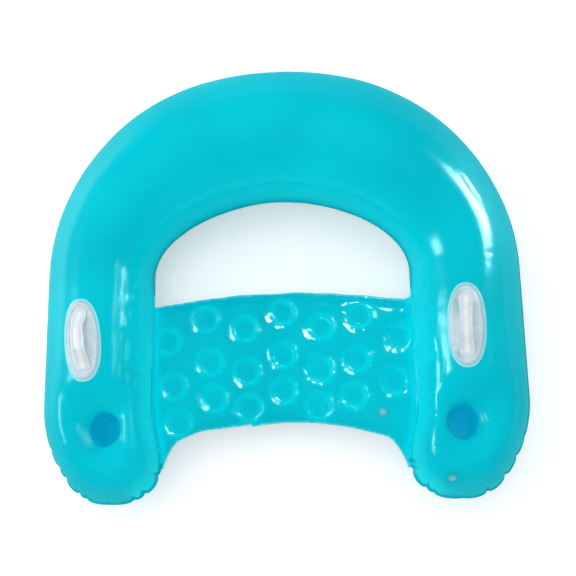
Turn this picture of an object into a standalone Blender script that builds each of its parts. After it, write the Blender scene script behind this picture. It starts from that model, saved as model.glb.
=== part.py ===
"""Inflatable pool lounge chair.

A horseshoe tube makes the back rest and both arms. A two-layer mat with round
tuft welds spans the arms, and each arm carries a handle and a cup well. Metres,
+Z up. The back rest is at +Y and the arms' tips point to -Y. The origin is on
the floor under the middle of the chair. Left and right are as seen from the
front, so the right arm is at +X.
"""
import math

import bmesh
import bpy
from mathutils import Matrix, Vector
from mathutils.bvhtree import BVHTree
from mathutils.geometry import delaunay_2d_cdt

# Vinyl and welds
VINYL = 0.0004  # thickness of the blown-up sheets
GAP = 0.0003  # room between pieces that are welded or seated
SEAM_WIDTH = 0.006  # flat weld round the tube and the mat

# Ring tube, to the outside of the blown-up sheets
CHAIR_LENGTH = 0.9985  # over the seams, from the tips to the back rest
ARM_SPACING = 0.842  # between the centre lines of the arms
ARCH_DEPTH = 0.3255  # from the arms' straight run to the back rest's centre line
ARM_RADIUS = 0.120
BACK_RADIUS = 0.1525
BACK_SPREAD_SHARE = 0.8  # of the arch over which the arm's radius grows to the back rest's
TIP_LENGTH = 0.155  # from the cup line to the seam of the tip
TIP_POWER = 2.5  # squareness of the tip seen from above
TOE_IN = 0.038  # how far the tips lean in
TOE_LEAD_SHARE = 0.35
TOE_SPAN_SHARE = 1.25
SETTLE = 0.003  # how far the tube flattens on the floor
FACETS = 9
STRAIGHT_STEPS = 2
ARCH_STEPS = 10
SMOOTH_DEGREES = 38  # sharpest bend that is shaded smooth

# Cup wells
CUP_INSET = 0.022  # from the arm's centre line towards the seat
CUP_REACH = 0.130  # from the cup's centre back to the arm's plain run
CUP_HOLE = 0.038
CUP_DIP = 0.046  # of the rim under the top of the arm
CUP_RISE = 0.058  # of the lower rim over the floor
CRATER_START_SHARE = 0.12
SLEEVE_WALL = 0.0006
SLEEVE_PROUD = 0.0015  # of the sleeve over and under the sheets' rims
SLEEVE_PINCH = 0.0018  # waist of the sleeve between the rims
SLEEVE_LIP = 0.005  # width of the lip that carries the floor
CUP_FLOOR = 0.001
SIDE_STEPS = 2
TIP_STEPS = 10
CUP_ROWS = 5
SLEEVE_STEPS = 4

# Seat mat
MAT_SETBACK = 0.040  # of the rear edge ahead of the arms' rear end
MAT_LENGTH = 0.300  # rear edge to front edge, in the middle
MAT_REAR_BOW = 0.031
MAT_FRONT_BOW = 0.040
MAT_CORNER = 0.062  # from the arm's seam to the front corner
MAT_FLARE = 0.085  # weld of the mat ahead of the cup line
MAT_FLARE_END = 0.012
MAT_FLARE_BEND_SHARE = 0.35  # of the flare's curve, from a straight line to a square corner
MAT_CREST = 0.014  # half of the blown-up thickness
MAT_EDGE_FALL = 0.030
MAT_SAG = 0.018
MAT_EDGE_STEP = 0.050
MAT_EDGE_ROOM = 0.002  # from the edge's weld to the tufts' rings
MAT_FILL_STEP = 0.039
MAT_FILL_SHIFT_SHARE = 0.5  # of the step, from one row to the next
MAT_PUFF_SHARES = (0.27, 0.75)
MAT_REAR_SHARES = (0, 0.15, 0.3, 0.45, 0.6, 0.75, 0.9)
MAT_FRONT_SHARES = (0.8, 0.6, 0.4, 0.2, 0)
INSET_ROOM_SHARE = 0.97
MITRE_SHARE = 0.5
FLARE_STEPS = 3

# Tuft welds in the mat
COIN_RADIUS = 0.023
COIN_RING = 0.008  # from the weld to the first ring of the swelling
COIN_EDGE_ROOM = 0.012  # from the weld to the rings along the mat's edge
COIN_FILL_ROOM = 0.014  # from the weld to the grid between the tufts
COIN_FALL = 0.019
COIN_SPREAD_SHARE = 0.292
COIN_NARROW_SHARE = 0.05
COIN_ROW_SHARES = (0.16, 0.488, 0.762)  # from the mat's rear edge to its front edge
COIN_STAGGER_SHARE = 0.11
COIN_SIDES = 8
COIN_COLUMNS = 7

# Handles
HANDLE_LENGTH = 0.185
HANDLE_WIDTH = 0.084
HANDLE_POWER = 2.3
HANDLE_AHEAD = 0.1575  # from the arms' rear end to the handle's middle
HANDLE_ROLLS = {"left": -0.10, "right": -0.16}  # radians round the arm, towards +X
HANDLE_TURNS = {"left": 0.10, "right": -0.03}
HANDLE_SHIFTS = {"left": -0.0055, "right": 0.0055}
PATCH_THICKNESS = 0.0012
PATCH_FACE_SHARE = 0.167  # widest face of the patch, of its width
PATCH_SPINE_SHARES = (1.0, 0.5, 0.0, -0.5, -1.0)
PATCH_FLANGE = 0.009
LIP_WIDTH = 0.004
LIP_SLOPE = 0.001
LIP_HEIGHT = 0.004
GRIP_LENGTH = 0.136
GRIP_WIDTH = 0.023
GRIP_FOOT_WIDTH = 0.031
GRIP_THICKNESS = 0.003
GRIP_RISE = 0.022
GRIP_RIB_WIDTH = 0.005
GRIP_RIB_HEIGHT = 0.0025
GRIP_CLIMB_SHARES = (0.84, 0.30)
GRIP_ROUND_SHARE = 0.6  # how much the ends narrow
GRIP_UNDER_SHARES = (-1.0, -0.5, 0.0, 0.5, 1.0)
HANDLE_SIDES = 28
GRIP_STEPS = 14

# Valves: a collar in the sheet, a stem that pushes in, a plug and a check flap
TUBE_VALVE_ACROSS = -0.026
TUBE_VALVE_AHEAD = 0.118
SEAT_VALVE_INSET = 0.080  # from the arm's seam
SEAT_VALVE_BACK = 0.050  # from the mat's front edge
VALVE_FLANGE_RADIUS = 0.0135
VALVE_FLANGE_THICKNESS = 0.001
VALVE_RING = 0.004  # from the flange to the ring round it in the mat
COLLAR_RADIUS = 0.009
COLLAR_WALL = 0.001
COLLAR_DEPTH = 0.014
COLLAR_LIP = 0.0025  # how far the collar's foot reaches in
COLLAR_LIP_THICKNESS = 0.0012
STEM_RADIUS = 0.0052
STEM_BORE = 0.0036
STEM_DISC = 0.0009
PLUG_RADIUS = 0.0054
PLUG_THICKNESS = 0.001
PLUG_STRAP_WIDTH = 0.004
PLUG_STRAP_STEPS = 4
PIN_ROOT_RADIUS = 0.0032
PIN_TIP_RADIUS = 0.0025
PIN_LENGTH = 0.004
FLAP_RADIUS = 0.0044
FLAP_THICKNESS = 0.0006
VALVE_SIDES = 20
CUT_OVERRUN = 0.01

# Sizes that follow from the ones above
SKIN = GAP / 2 + VINYL
ARM_X = ARM_SPACING / 2
CUP_Y = -CHAIR_LENGTH / 2 + SEAM_WIDTH + TIP_LENGTH
ARCH_Y = CHAIR_LENGTH / 2 - SEAM_WIDTH - BACK_RADIUS - ARCH_DEPTH
CUP_SIDES = FACETS + 2 * SIDE_STEPS + TIP_STEPS
MAT_REAR_Y = ARCH_Y - MAT_SETBACK
MAT_FRONT_Y = MAT_REAR_Y - MAT_LENGTH
SEAM_X = ARM_X - ARM_RADIUS
HANDLE_SEAT = GAP + (HANDLE_WIDTH * PATCH_FACE_SHARE) ** 2 / (8 * ARM_RADIUS)
PLAN_TOLERANCE = GAP / 10
MERGE_REACH = GAP / 4

UPPER = 1
LOWER = -1


def smooth(share):
    """Ease from 0 to 1 as the share goes from 0 to 1."""
    share = min(max(share, 0.0), 1.0)
    return share * share * (3.0 - 2.0 * share)


def swell(share):
    """Quarter-round rise from 0 to 1, steep at the start."""
    share = min(max(share, 0.0), 1.0)
    return math.sqrt(1.0 - (1.0 - share) ** 2)


def seam_level(radius):
    """Height of the seam's middle plane where the tube has this radius."""
    return radius + SKIN - SETTLE


def round_power(value, power):
    """Signed power that turns a circle into a squarer outline."""
    return math.copysign(abs(value) ** (2.0 / power), value)


# Plan of the ring tube

def arch_station(share):
    """Centre, outward direction and radius, from the arm's end at 0 to the back rest's middle at 1."""
    turn = share * math.pi / 2
    centre = Vector((ARM_X * math.cos(turn), ARCH_Y + ARCH_DEPTH * math.sin(turn)))
    outward = Vector((ARCH_DEPTH * math.cos(turn), ARM_X * math.sin(turn))).normalized()
    growth = smooth(share / BACK_SPREAD_SHARE)
    return centre, outward, ARM_RADIUS + (BACK_RADIUS - ARM_RADIUS) * growth


def stations():
    """Sections of the right half, from the cup's reach along the arm and over the arch."""
    places = []
    for step in range(STRAIGHT_STEPS):
        share = step / STRAIGHT_STEPS
        y = (CUP_Y + CUP_REACH) * (1 - share) + ARCH_Y * share
        places.append((Vector((ARM_X, y)), Vector((1.0, 0.0)), ARM_RADIUS))
    for step in range(ARCH_STEPS + 1):
        places.append(arch_station(step / ARCH_STEPS))
    return places


def toe(along):
    """How far the arm leans in at this distance behind the cup line."""
    return TOE_IN * smooth((TOE_LEAD_SHARE - along / TIP_LENGTH) / TOE_SPAN_SHARE)


def arm_plan(across, along):
    """Point of the right arm's plan, from its centre line and the cup line."""
    return Vector((ARM_X + across - toe(along), CUP_Y + along))


def tip_edge(grow):
    """Plan of the tip's seam, from the inner end of the first section round to its outer end."""
    half = ARM_RADIUS + grow
    length = TIP_LENGTH + grow
    inner = [(-half, CUP_REACH * (1 - step / SIDE_STEPS)) for step in range(SIDE_STEPS)]
    front = []
    for step in range(TIP_STEPS + 1):
        turn = math.pi * (1 + step / TIP_STEPS)
        across = half * round_power(math.cos(turn), TIP_POWER)
        front.append((across, length * round_power(math.sin(turn), TIP_POWER)))
    outer = [(half, CUP_REACH * (step + 1) / SIDE_STEPS) for step in range(SIDE_STEPS)]
    return [arm_plan(*point) for point in inner + front + outer]


def cup_centre():
    """Plan of the cup's centre on the right arm."""
    return arm_plan(-CUP_INSET, 0.0)


def cup_ring(radius):
    """Corners round the cup, in step with the tip's outline."""
    centre = cup_centre()
    points = []
    for step in range(CUP_SIDES):
        turn = math.pi / 2 + (step - FACETS / 2) * 2 * math.pi / CUP_SIDES
        points.append(centre + radius * Vector((math.cos(turn), math.sin(turn))))
    return points


def cup_rim(side):
    """Height of the sheet's rim at the cup's hole."""
    if side == UPPER:
        return seam_level(ARM_RADIUS) + SKIN + ARM_RADIUS - CUP_DIP
    return CUP_RISE


def dome(plan):
    """Height of the blown-up arm over its seam, as a share of its radius."""
    along = plan.y - CUP_Y
    spread = abs(plan.x - ARM_X + toe(along)) / ARM_RADIUS
    if along < 0:
        spread = (spread ** TIP_POWER + (-along / TIP_LENGTH) ** TIP_POWER) ** (1 / TIP_POWER)
    return math.sqrt(max(1.0 - spread * spread, 0.0))


def tip_height(plan, share, side):
    """Height of the sheet at a share of the way from the outline to the cup's hole."""
    blown = seam_level(ARM_RADIUS) + side * (SKIN + ARM_RADIUS * dome(plan))
    sunk = max((share - CRATER_START_SHARE) / (1 - CRATER_START_SHARE), 0.0) ** 2
    return max(blown * (1 - sunk) + cup_rim(side) * sunk, 0.0)


# Ring tube sheets

def section_points(centre, outward, radius, side):
    """Points across one sheet, from the outer seam's edge over the tube to the inner seam's edge."""
    level = seam_level(radius) + side * SKIN
    spots = [(radius + SEAM_WIDTH, level)]
    for step in range(FACETS + 1):
        turn = math.pi * step / FACETS
        height = level + side * radius * math.sin(turn)
        spots.append((radius * math.cos(turn), max(height, 0.0)))
    spots.append((-radius - SEAM_WIDTH, level))
    return [(*(centre + reach * outward), height) for reach, height in spots]


def skin_between(mesh, first, second, closed=False):
    """Quads between two rows of vertices."""
    count = len(first)
    for index in range(count if closed else count - 1):
        after = (index + 1) % count
        mesh.faces.new((first[index], first[after], second[after], second[index]))


def face_out(mesh, side):
    """Turn an open sheet's faces to the outside."""
    bmesh.ops.recalc_face_normals(mesh, faces=mesh.faces)
    mesh.normal_update()
    if side * sum(face.normal.z * face.calc_area() for face in mesh.faces) < 0:
        bmesh.ops.reverse_faces(mesh, faces=mesh.faces)
    mesh.normal_update()


def tube_half(side):
    """Outer face of the right half of the ring tube's upper or lower sheet."""
    mesh = bmesh.new()
    rows = []
    for centre, outward, radius in stations():
        points = section_points(centre, outward, radius, side)
        rows.append([mesh.verts.new(point) for point in points])
    for first, second in zip(rows, rows[1:]):
        skin_between(mesh, first, second)
    level = seam_level(ARM_RADIUS) + side * SKIN
    seam = [mesh.verts.new((*point, level)) for point in tip_edge(0.0)[1:-1]]
    edge = [mesh.verts.new((*point, level)) for point in tip_edge(SEAM_WIDTH)[1:-1]]
    outline = rows[0][1:-1] + seam
    skin_between(mesh, [outline[FACETS]] + seam + [outline[0]], [rows[0][-1]] + edge + [rows[0][0]])
    hole = cup_ring(CUP_HOLE)
    plans = [vertex.co.xy for vertex in outline]
    row = outline
    for step in range(1, CUP_ROWS + 1):
        share = 1 - math.cos(math.pi / 2 * step / CUP_ROWS)
        after = []
        for outer, inner in zip(plans, hole):
            plan = outer.lerp(inner, share)
            after.append(mesh.verts.new((*plan, tip_height(plan, share, side))))
        skin_between(mesh, row, after, closed=True)
        row = after
    face_out(mesh, side)
    return mesh


# Seat mat plan

def seam_path():
    """Plan of the ring tube's inner seam, right half, from the back rest down to the tip."""
    path = [centre - radius * outward for centre, outward, radius in reversed(stations())]
    return path + tip_edge(0.0)[1:SIDE_STEPS + TIP_STEPS // 2 + 1]


def seam_x(y):
    """Where the inner seam lies at this place along the chair."""
    path = seam_path()
    for first, second in zip(path, path[1:]):
        if second.y <= y <= first.y:
            return first.x + (second.x - first.x) * (y - first.y) / (second.y - first.y)
    return path[-1].x


def mat_rear(x):
    """Rear edge of the mat."""
    return MAT_REAR_Y - MAT_REAR_BOW * (x / SEAM_X) ** 2


def mat_front(x):
    """Front edge of the mat."""
    return MAT_FRONT_Y - MAT_FRONT_BOW * (x / (SEAM_X - MAT_CORNER)) ** 2


def spread_points(path, step):
    """The same path with no run longer than the step."""
    points = [path[0]]
    for first, second in zip(path, path[1:]):
        count = math.ceil((second - first).length / step)
        points += [first.lerp(second, (index + 1) / count) for index in range(count)]
    return points


def mat_half_outline():
    """Right half of the mat's edge, from the rear middle round to the front middle."""
    rear_y = mat_rear(SEAM_X)
    rear = [Vector((SEAM_X * share, mat_rear(SEAM_X * share))) for share in MAT_REAR_SHARES]
    flare_y = CUP_Y - MAT_FLARE
    side = [Vector((SEAM_X, rear_y))]
    side += [point.copy() for point in seam_path() if flare_y < point.y < rear_y]
    side.append(Vector((seam_x(flare_y), flare_y)))
    side = [point - Vector((GAP, 0.0)) for point in side]
    end = side[-1] - Vector((MAT_FLARE_END, 0.0))
    corner_x = SEAM_X - MAT_CORNER
    corner = Vector((corner_x, mat_front(corner_x)))
    bend = ((end + corner) / 2).lerp(Vector((end.x, corner.y)), MAT_FLARE_BEND_SHARE)
    flare = []
    for step in range(FLARE_STEPS + 1):
        share = step / FLARE_STEPS
        flare.append(end.lerp(bend, share).lerp(bend.lerp(corner, share), share))
    front = [Vector((corner_x * share, mat_front(corner_x * share))) for share in MAT_FRONT_SHARES]
    return spread_points(rear + side, MAT_EDGE_STEP) + flare + front


def mirrored(path):
    """A half outline and its mirror image as one loop."""
    other = [Vector((-point.x, point.y)) for point in reversed(path[1:-1])]
    return path + other


def edge_distance(point, outline):
    """How far a plan point lies from the outline."""
    least = math.inf
    for first, second in zip(outline, outline[1:] + outline[:1]):
        run = second - first
        share = min(max((point - first).dot(run) / run.length_squared, 0.0), 1.0)
        least = min(least, (first.lerp(second, share) - point).length)
    return least


def inside(point, outline):
    """Whether a plan point lies within the outline."""
    within = False
    for first, second in zip(outline, outline[1:] + outline[:1]):
        if (first.y > point.y) != (second.y > point.y):
            crossing = first.x + (second.x - first.x) * (point.y - first.y) / (second.y - first.y)
            within ^= point.x < crossing
    return within


def inset(outline, depth):
    """Points at this depth inside the outline, one for each corner that has room."""
    points = []
    count = len(outline)
    for index, point in enumerate(outline):
        before = (point - outline[index - 1]).normalized()
        after = (outline[(index + 1) % count] - point).normalized()
        inward = (before + after).normalized().orthogonal()
        if not inside(point + inward * GAP, outline):
            inward = -inward
        reach = depth / max(abs(inward.dot(after.orthogonal())), MITRE_SHARE)
        spot = point + inward * reach
        if inside(spot, outline) and edge_distance(spot, outline) > INSET_ROOM_SHARE * depth:
            points.append(spot)
    return points


def seat_valve_plan():
    """Where the seat valve stands in the mat."""
    x = SEAM_X - SEAT_VALVE_INSET
    return Vector((x, mat_front(x) + SEAT_VALVE_BACK))


def coin_centres(outline):
    """Tuft welds in staggered columns, leaving out the one where the valve is."""
    half = COIN_COLUMNS // 2
    centres = []
    for column in range(-half, half + 1):
        for row, row_share in enumerate(COIN_ROW_SHARES):
            x = column * COIN_SPREAD_SHARE * SEAM_X * (1 - COIN_NARROW_SHARE * row)
            share = row_share + COIN_STAGGER_SHARE * (column % 2)
            spot = Vector((x, mat_rear(x) * (1 - share) + mat_front(x) * share))
            room = edge_distance(spot, outline) > COIN_RADIUS + SEAM_WIDTH and inside(spot, outline)
            if room and (spot - seat_valve_plan()).length > COIN_RADIUS + VALVE_FLANGE_RADIUS:
                centres.append(spot)
    return centres


def circle(centre, radius, sides):
    """Plan points round a centre."""
    turns = (2 * math.pi * step / sides for step in range(sides))
    return [centre + radius * Vector((math.cos(turn), math.sin(turn))) for turn in turns]


def add_loop(points, edges, loop, outline=None):
    """Add a loop's points and the edges between neighbours. With an outline, only those off its weld."""
    places = []
    for spot in loop:
        kept = outline is None or clear_of_weld(spot, outline)
        places.append(len(points) if kept else None)
        if kept:
            points.append(spot)
    for first, second in zip(places, places[1:] + places[:1]):
        if first is not None and second is not None:
            edges.append((first, second))


def clear_of(spot, centres, distance):
    """Whether a point keeps this distance from every centre."""
    return all((spot - centre).length > distance for centre in centres)


def clear_of_weld(spot, outline):
    """Whether a point lies in the swollen part of the mat, off the weld round its edge."""
    return inside(spot, outline) and edge_distance(spot, outline) > SEAM_WIDTH + MAT_EDGE_ROOM


def mat_fill(outline, centres):
    """A staggered grid of points over the swelling between the tufts."""
    spots = []
    rows = math.ceil((MAT_REAR_Y - MAT_FRONT_Y + MAT_FRONT_BOW) / MAT_FILL_STEP)
    columns = math.ceil(SEAM_X / MAT_FILL_STEP)
    for row in range(rows):
        for column in range(-columns, columns + 1):
            shift = MAT_FILL_SHIFT_SHARE * (row % 2)
            spot = Vector(((column + shift) * MAT_FILL_STEP, MAT_REAR_Y - row * MAT_FILL_STEP))
            deep = edge_distance(spot, outline) > MAT_EDGE_FALL
            if deep and inside(spot, outline) and clear_of(spot, centres, COIN_RADIUS + COIN_FILL_ROOM):
                spots.append(spot)
    return spots


def mat_plan(outline, coins):
    """Points and triangles of the mat's plan: its edge, the weld, the tufts and the swelling between."""
    points, edges = [], []
    add_loop(points, edges, outline)
    add_loop(points, edges, inset(outline, SEAM_WIDTH))
    valve = seat_valve_plan()
    add_loop(points, edges, circle(valve, VALVE_FLANGE_RADIUS + VALVE_RING, COIN_SIDES), outline)
    for centre in coins:
        add_loop(points, edges, circle(centre, COIN_RADIUS, COIN_SIDES), outline)
        add_loop(points, edges, circle(centre, COIN_RADIUS + COIN_RING, COIN_SIDES), outline)
    centres = coins + [valve]
    swollen = [valve] + mat_fill(outline, centres)
    for share in MAT_PUFF_SHARES:
        ring = inset(outline, SEAM_WIDTH + share * MAT_EDGE_FALL)
        swollen += [spot for spot in ring if clear_of(spot, centres, COIN_RADIUS + COIN_EDGE_ROOM)]
    points += [spot for spot in swollen if clear_of_weld(spot, outline)]
    found = delaunay_2d_cdt(points, edges, [], 1, PLAN_TOLERANCE)
    return found[0], found[2]


def mat_middle(plan):
    """Height of the mat's middle plane, which hangs between the arms."""
    level = seam_level(ARM_RADIUS) - 2 * SKIN - GAP
    return level - MAT_SAG * max(1 - (plan.x / seam_x(plan.y)) ** 2, 0.0)


def mat_swelling(plan, outline, coins):
    """Half of the mat's blown-up thickness."""
    edge = swell((edge_distance(plan, outline) - SEAM_WIDTH) / MAT_EDGE_FALL)
    nearest = min(((plan - coin).length for coin in coins), default=math.inf)
    return MAT_CREST * edge * swell((nearest - COIN_RADIUS) / COIN_FALL)


def mat_sheet(side):
    """Outer face of the mat's upper or lower sheet."""
    outline = mirrored(mat_half_outline())
    coins = coin_centres(outline)
    plans, faces = mat_plan(outline, coins)
    mesh = bmesh.new()
    verts = []
    for plan in plans:
        height = mat_middle(plan) + side * (SKIN + mat_swelling(plan, outline, coins))
        verts.append(mesh.verts.new((*plan, height)))
    for face in faces:
        mesh.faces.new([verts[index] for index in face])
    face_out(mesh, side)
    return mesh


# Objects

def new_material(name, colour, roughness, see_through):
    """Plastic with this colour. What lets light through has transmission."""
    material = bpy.data.materials.new(name)
    material.use_nodes = True
    shader = material.node_tree.nodes["Principled BSDF"]
    shader.inputs["Base Color"].default_value = (*colour, 1.0)
    shader.inputs["Roughness"].default_value = roughness
    shader.inputs["Metallic"].default_value = 0.0
    shader.inputs["Transmission Weight"].default_value = see_through
    return material


BLUE = ((0.0, 0.50, 0.60), 0.18, 0.3)
DEEP_BLUE = ((0.0, 0.33, 0.48), 0.2, 0.4)
PALE = ((0.62, 0.78, 0.82), 0.25, 0.3)
MILKY = ((0.72, 0.84, 0.87), 0.3, 0.2)


def new_object(name, mesh, finish):
    """Object from a mesh under construction, shaded smooth but for its sharp edges."""
    data = bpy.data.meshes.new(name)
    mesh.to_mesh(data)
    mesh.free()
    data.shade_smooth()
    data.set_sharp_from_angle(angle=math.radians(SMOOTH_DEGREES))
    data.materials.append(new_material(name, *finish))
    item = bpy.data.objects.new(name, data)
    bpy.context.scene.collection.objects.link(item)
    return item


def thicken(item):
    """Give an open sheet its vinyl's thickness, inwards."""
    solid = item.modifiers.new("vinyl", "SOLIDIFY")
    solid.thickness = VINYL
    solid.offset = -1.0
    solid.use_even_offset = True


def hide_tool(item):
    """Mark a shape that only cuts or joins."""
    item.hide_render = True
    item.display_type = "WIRE"


def combine(item, tool, operation):
    """Cut or join one object with another."""
    step = item.modifiers.new(tool.name, "BOOLEAN")
    step.operation = operation
    step.solver = "EXACT"
    step.object = tool
    hide_tool(tool)


def turned(profile, sides, start=0.0):
    """Solid of revolution round Z from a closed loop of (radius, height) points."""
    mesh = bmesh.new()
    rings = []
    for radius, height in profile:
        if radius == 0:
            rings.append([mesh.verts.new((0.0, 0.0, height))])
            continue
        ring = []
        for step in range(sides):
            turn = start + 2 * math.pi * step / sides
            ring.append(mesh.verts.new((radius * math.cos(turn), radius * math.sin(turn), height)))
        rings.append(ring)
    for first, second in zip(rings, rings[1:] + rings[:1]):
        if len(first) == len(second) == 1:
            continue
        for step in range(sides):
            after = (step + 1) % sides
            corners = [first[step % len(first)], first[after % len(first)]]
            corners += [second[after % len(second)], second[step % len(second)]]
            mesh.faces.new(list(dict.fromkeys(corners)))
    bmesh.ops.recalc_face_normals(mesh, faces=mesh.faces)
    return mesh


def make_tube():
    """Upper and lower sheet of the ring tube. Returns the upper one and the valve's seat."""
    sheets = {}
    for name, side in (("tube_upper_sheet", UPPER), ("tube_lower_sheet", LOWER)):
        mesh = tube_half(side)
        if side == UPPER:
            seat = seat_on(mesh, arm_plan(TUBE_VALVE_ACROSS, -TUBE_VALVE_AHEAD))
        item = new_object(name, mesh, BLUE)
        halves = item.modifiers.new("halves", "MIRROR")
        halves.merge_threshold = MERGE_REACH
        thicken(item)
        sheets[side] = item
    return sheets[UPPER], seat


def make_mat():
    """Upper and lower sheet of the seat mat. Returns the upper one and the valve's seat."""
    sheets = {}
    for name, side in (("seat_upper_sheet", UPPER), ("seat_lower_sheet", LOWER)):
        mesh = mat_sheet(side)
        if side == UPPER:
            seat = seat_on(mesh, seat_valve_plan())
        item = new_object(name, mesh, BLUE)
        thicken(item)
        sheets[side] = item
    return sheets[UPPER], seat


def seat_on(mesh, plan):
    """Point and outward direction of a sheet's face at a place in plan."""
    tree = BVHTree.FromBMesh(mesh)
    place, normal, *_ = tree.ray_cast(Vector((*plan, CHAIR_LENGTH)), Vector((0.0, 0.0, -1.0)))
    return place, normal


def make_cup(name, arm):
    """Sleeve that ties the two sheets together round a cup hole, and the floor in its foot."""
    centre = cup_centre()
    start = math.pi / 2 - math.pi * FACETS / CUP_SIDES
    low = CUP_RISE - SLEEVE_PROUD
    high = cup_rim(UPPER) + SLEEVE_PROUD
    radius = CUP_HOLE - GAP
    outer, inner = [], []
    for step in range(SLEEVE_STEPS + 1):
        share = step / SLEEVE_STEPS
        waist = radius - SLEEVE_PINCH * math.sin(math.pi * share)
        outer.append((waist, low * (1 - share) + high * share))
        inner.append((waist - SLEEVE_WALL, low * (1 - share) + high * share))
    foot = radius - SLEEVE_WALL
    lip = [(foot, low + SLEEVE_WALL), (foot - SLEEVE_LIP, low + SLEEVE_WALL), (foot - SLEEVE_LIP, low)]
    wall = turned(outer + inner[:0:-1] + lip, CUP_SIDES, start)
    disc_low = low + SLEEVE_WALL + GAP
    disc_high = disc_low + CUP_FLOOR
    disc_radius = foot - 2 * GAP - SLEEVE_PINCH * math.sin(math.pi * 2 * CUP_FLOOR / (high - low))
    profile = [(0.0, disc_low), (disc_radius, disc_low), (disc_radius, disc_high), (0.0, disc_high)]
    sleeve = new_object("cup_sleeve_" + name, wall, DEEP_BLUE)
    floor = new_object("cup_floor_" + name, turned(profile, CUP_SIDES, start), DEEP_BLUE)
    for item in (sleeve, floor):
        item.location = (arm * centre.x, centre.y, 0.0)
        if arm < 0:
            item.rotation_euler.z = math.pi - 2 * start


# Handles

def on_arm(name, arm, across, along, height):
    """Point over an arm's upper sheet: across runs round the tube and height stands off it."""
    lean = HANDLE_TURNS[name]
    round_run = across * math.cos(lean) - along * math.sin(lean)
    length_run = across * math.sin(lean) + along * math.cos(lean)
    turn = HANDLE_ROLLS[name] + round_run / ARM_RADIUS
    reach = ARM_RADIUS + HANDLE_SEAT + height
    x = arm * ARM_X + reach * math.sin(turn)
    y = ARCH_Y - HANDLE_AHEAD + HANDLE_SHIFTS[name] + length_run
    return Vector((x, y, seam_level(ARM_RADIUS) + SKIN + reach * math.cos(turn)))


def oval_ring(name, arm, depth, height):
    """Points round the handle's oval, a given depth in from its edge."""
    points = []
    for step in range(HANDLE_SIDES):
        turn = 2 * math.pi * step / HANDLE_SIDES
        across = (HANDLE_WIDTH / 2 - depth) * round_power(math.cos(turn), HANDLE_POWER)
        along = (HANDLE_LENGTH / 2 - depth) * round_power(math.sin(turn), HANDLE_POWER)
        points.append(on_arm(name, arm, across, along, height))
    return points


def make_patch(name, arm):
    """Oval patch with a flange, a raised lip and a tray, curved round the arm."""
    mesh = bmesh.new()
    lip = PATCH_FLANGE + LIP_SLOPE
    tray = lip + LIP_WIDTH + LIP_SLOPE
    middle = HANDLE_WIDTH / 2 - tray
    levels = [(tray + middle / 2, 0.0), (tray, 0.0), (0.0, 0.0), (0.0, PATCH_THICKNESS)]
    levels += [(PATCH_FLANGE, PATCH_THICKNESS), (lip, LIP_HEIGHT), (lip + LIP_WIDTH, LIP_HEIGHT)]
    levels += [(tray, PATCH_THICKNESS), (tray + middle / 2, PATCH_THICKNESS)]
    rings = []
    for depth, height in levels:
        rings.append([mesh.verts.new(point) for point in oval_ring(name, arm, depth, height)])
    for first, second in zip(rings, rings[1:]):
        skin_between(mesh, first, second, closed=True)
    for ring, height in ((rings[0], 0.0), (rings[-1], PATCH_THICKNESS)):
        spine = []
        reach = (HANDLE_LENGTH - HANDLE_WIDTH) / 2
        for share in PATCH_SPINE_SHARES:
            spine.append(mesh.verts.new(on_arm(name, arm, 0.0, reach * share, height)))
        fill_to_spine(mesh, ring, spine)
    bmesh.ops.recalc_face_normals(mesh, faces=mesh.faces)
    new_object("handle_patch_" + name, mesh, PALE)


def fill_to_spine(mesh, ring, spine):
    """Close an oval ring with triangles and quads to a line of points down its middle."""
    nearest = []
    for vertex in ring:
        nearest.append(min(spine, key=lambda point: (point.co - vertex.co).length))
    count = len(ring)
    for index in range(count):
        after = (index + 1) % count
        corners = [ring[index], ring[after], nearest[after], nearest[index]]
        mesh.faces.new(list(dict.fromkeys(corners)))


def grip_section(share):
    """Half width, underside and rib height of the grip at a share of its half length."""
    share = abs(share)
    first, last = GRIP_CLIMB_SHARES
    climb = smooth((first - share) / (first - last))
    width = GRIP_WIDTH + (GRIP_FOOT_WIDTH - GRIP_WIDTH) * smooth((share - last) / (first - last))
    width *= math.sqrt(1 - GRIP_ROUND_SHARE * smooth((share - first) / (1 - first)))
    return width / 2, PATCH_THICKNESS + GAP + GRIP_RISE * climb, GRIP_RIB_HEIGHT * (1 - smooth(share))


def make_grip(name, arm):
    """Arched strap with a rib along its top, standing on the patch's tray."""
    mesh = bmesh.new()
    rib = GRIP_RIB_WIDTH / 2
    sections = []
    for step in range(GRIP_STEPS + 1):
        share = 2 * step / GRIP_STEPS - 1
        half, low, rise = grip_section(share)
        high = low + GRIP_THICKNESS
        crest = high + rise
        spots = [(half * part, low) for part in GRIP_UNDER_SHARES]
        spots += [(half, high), (rib, high), (rib / 2, crest)]
        spots += [(-rib / 2, crest), (-rib, high), (-half, high)]
        along = share * GRIP_LENGTH / 2
        points = [on_arm(name, arm, across, along, height) for across, height in spots]
        sections.append([mesh.verts.new(point) for point in points])
    for first, second in zip(sections, sections[1:]):
        skin_between(mesh, first, second, closed=True)
    mesh.faces.new(sections[0])
    mesh.faces.new(sections[-1])
    bmesh.ops.recalc_face_normals(mesh, faces=mesh.faces)
    new_object("handle_grip_" + name, mesh, MILKY)


# Valves

def place_axis(name, place, normal):
    """Empty on a sheet with Z along the valve and X across the chair."""
    across = (Vector((1.0, 0.0, 0.0)) - normal * normal.x).normalized()
    frame = Matrix((across, normal.cross(across), normal)).transposed().to_4x4()
    axis = bpy.data.objects.new(name, None)
    axis.matrix_world = Matrix.Translation(place) @ frame
    axis.hide_render = True
    bpy.context.scene.collection.objects.link(axis)
    return axis


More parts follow.
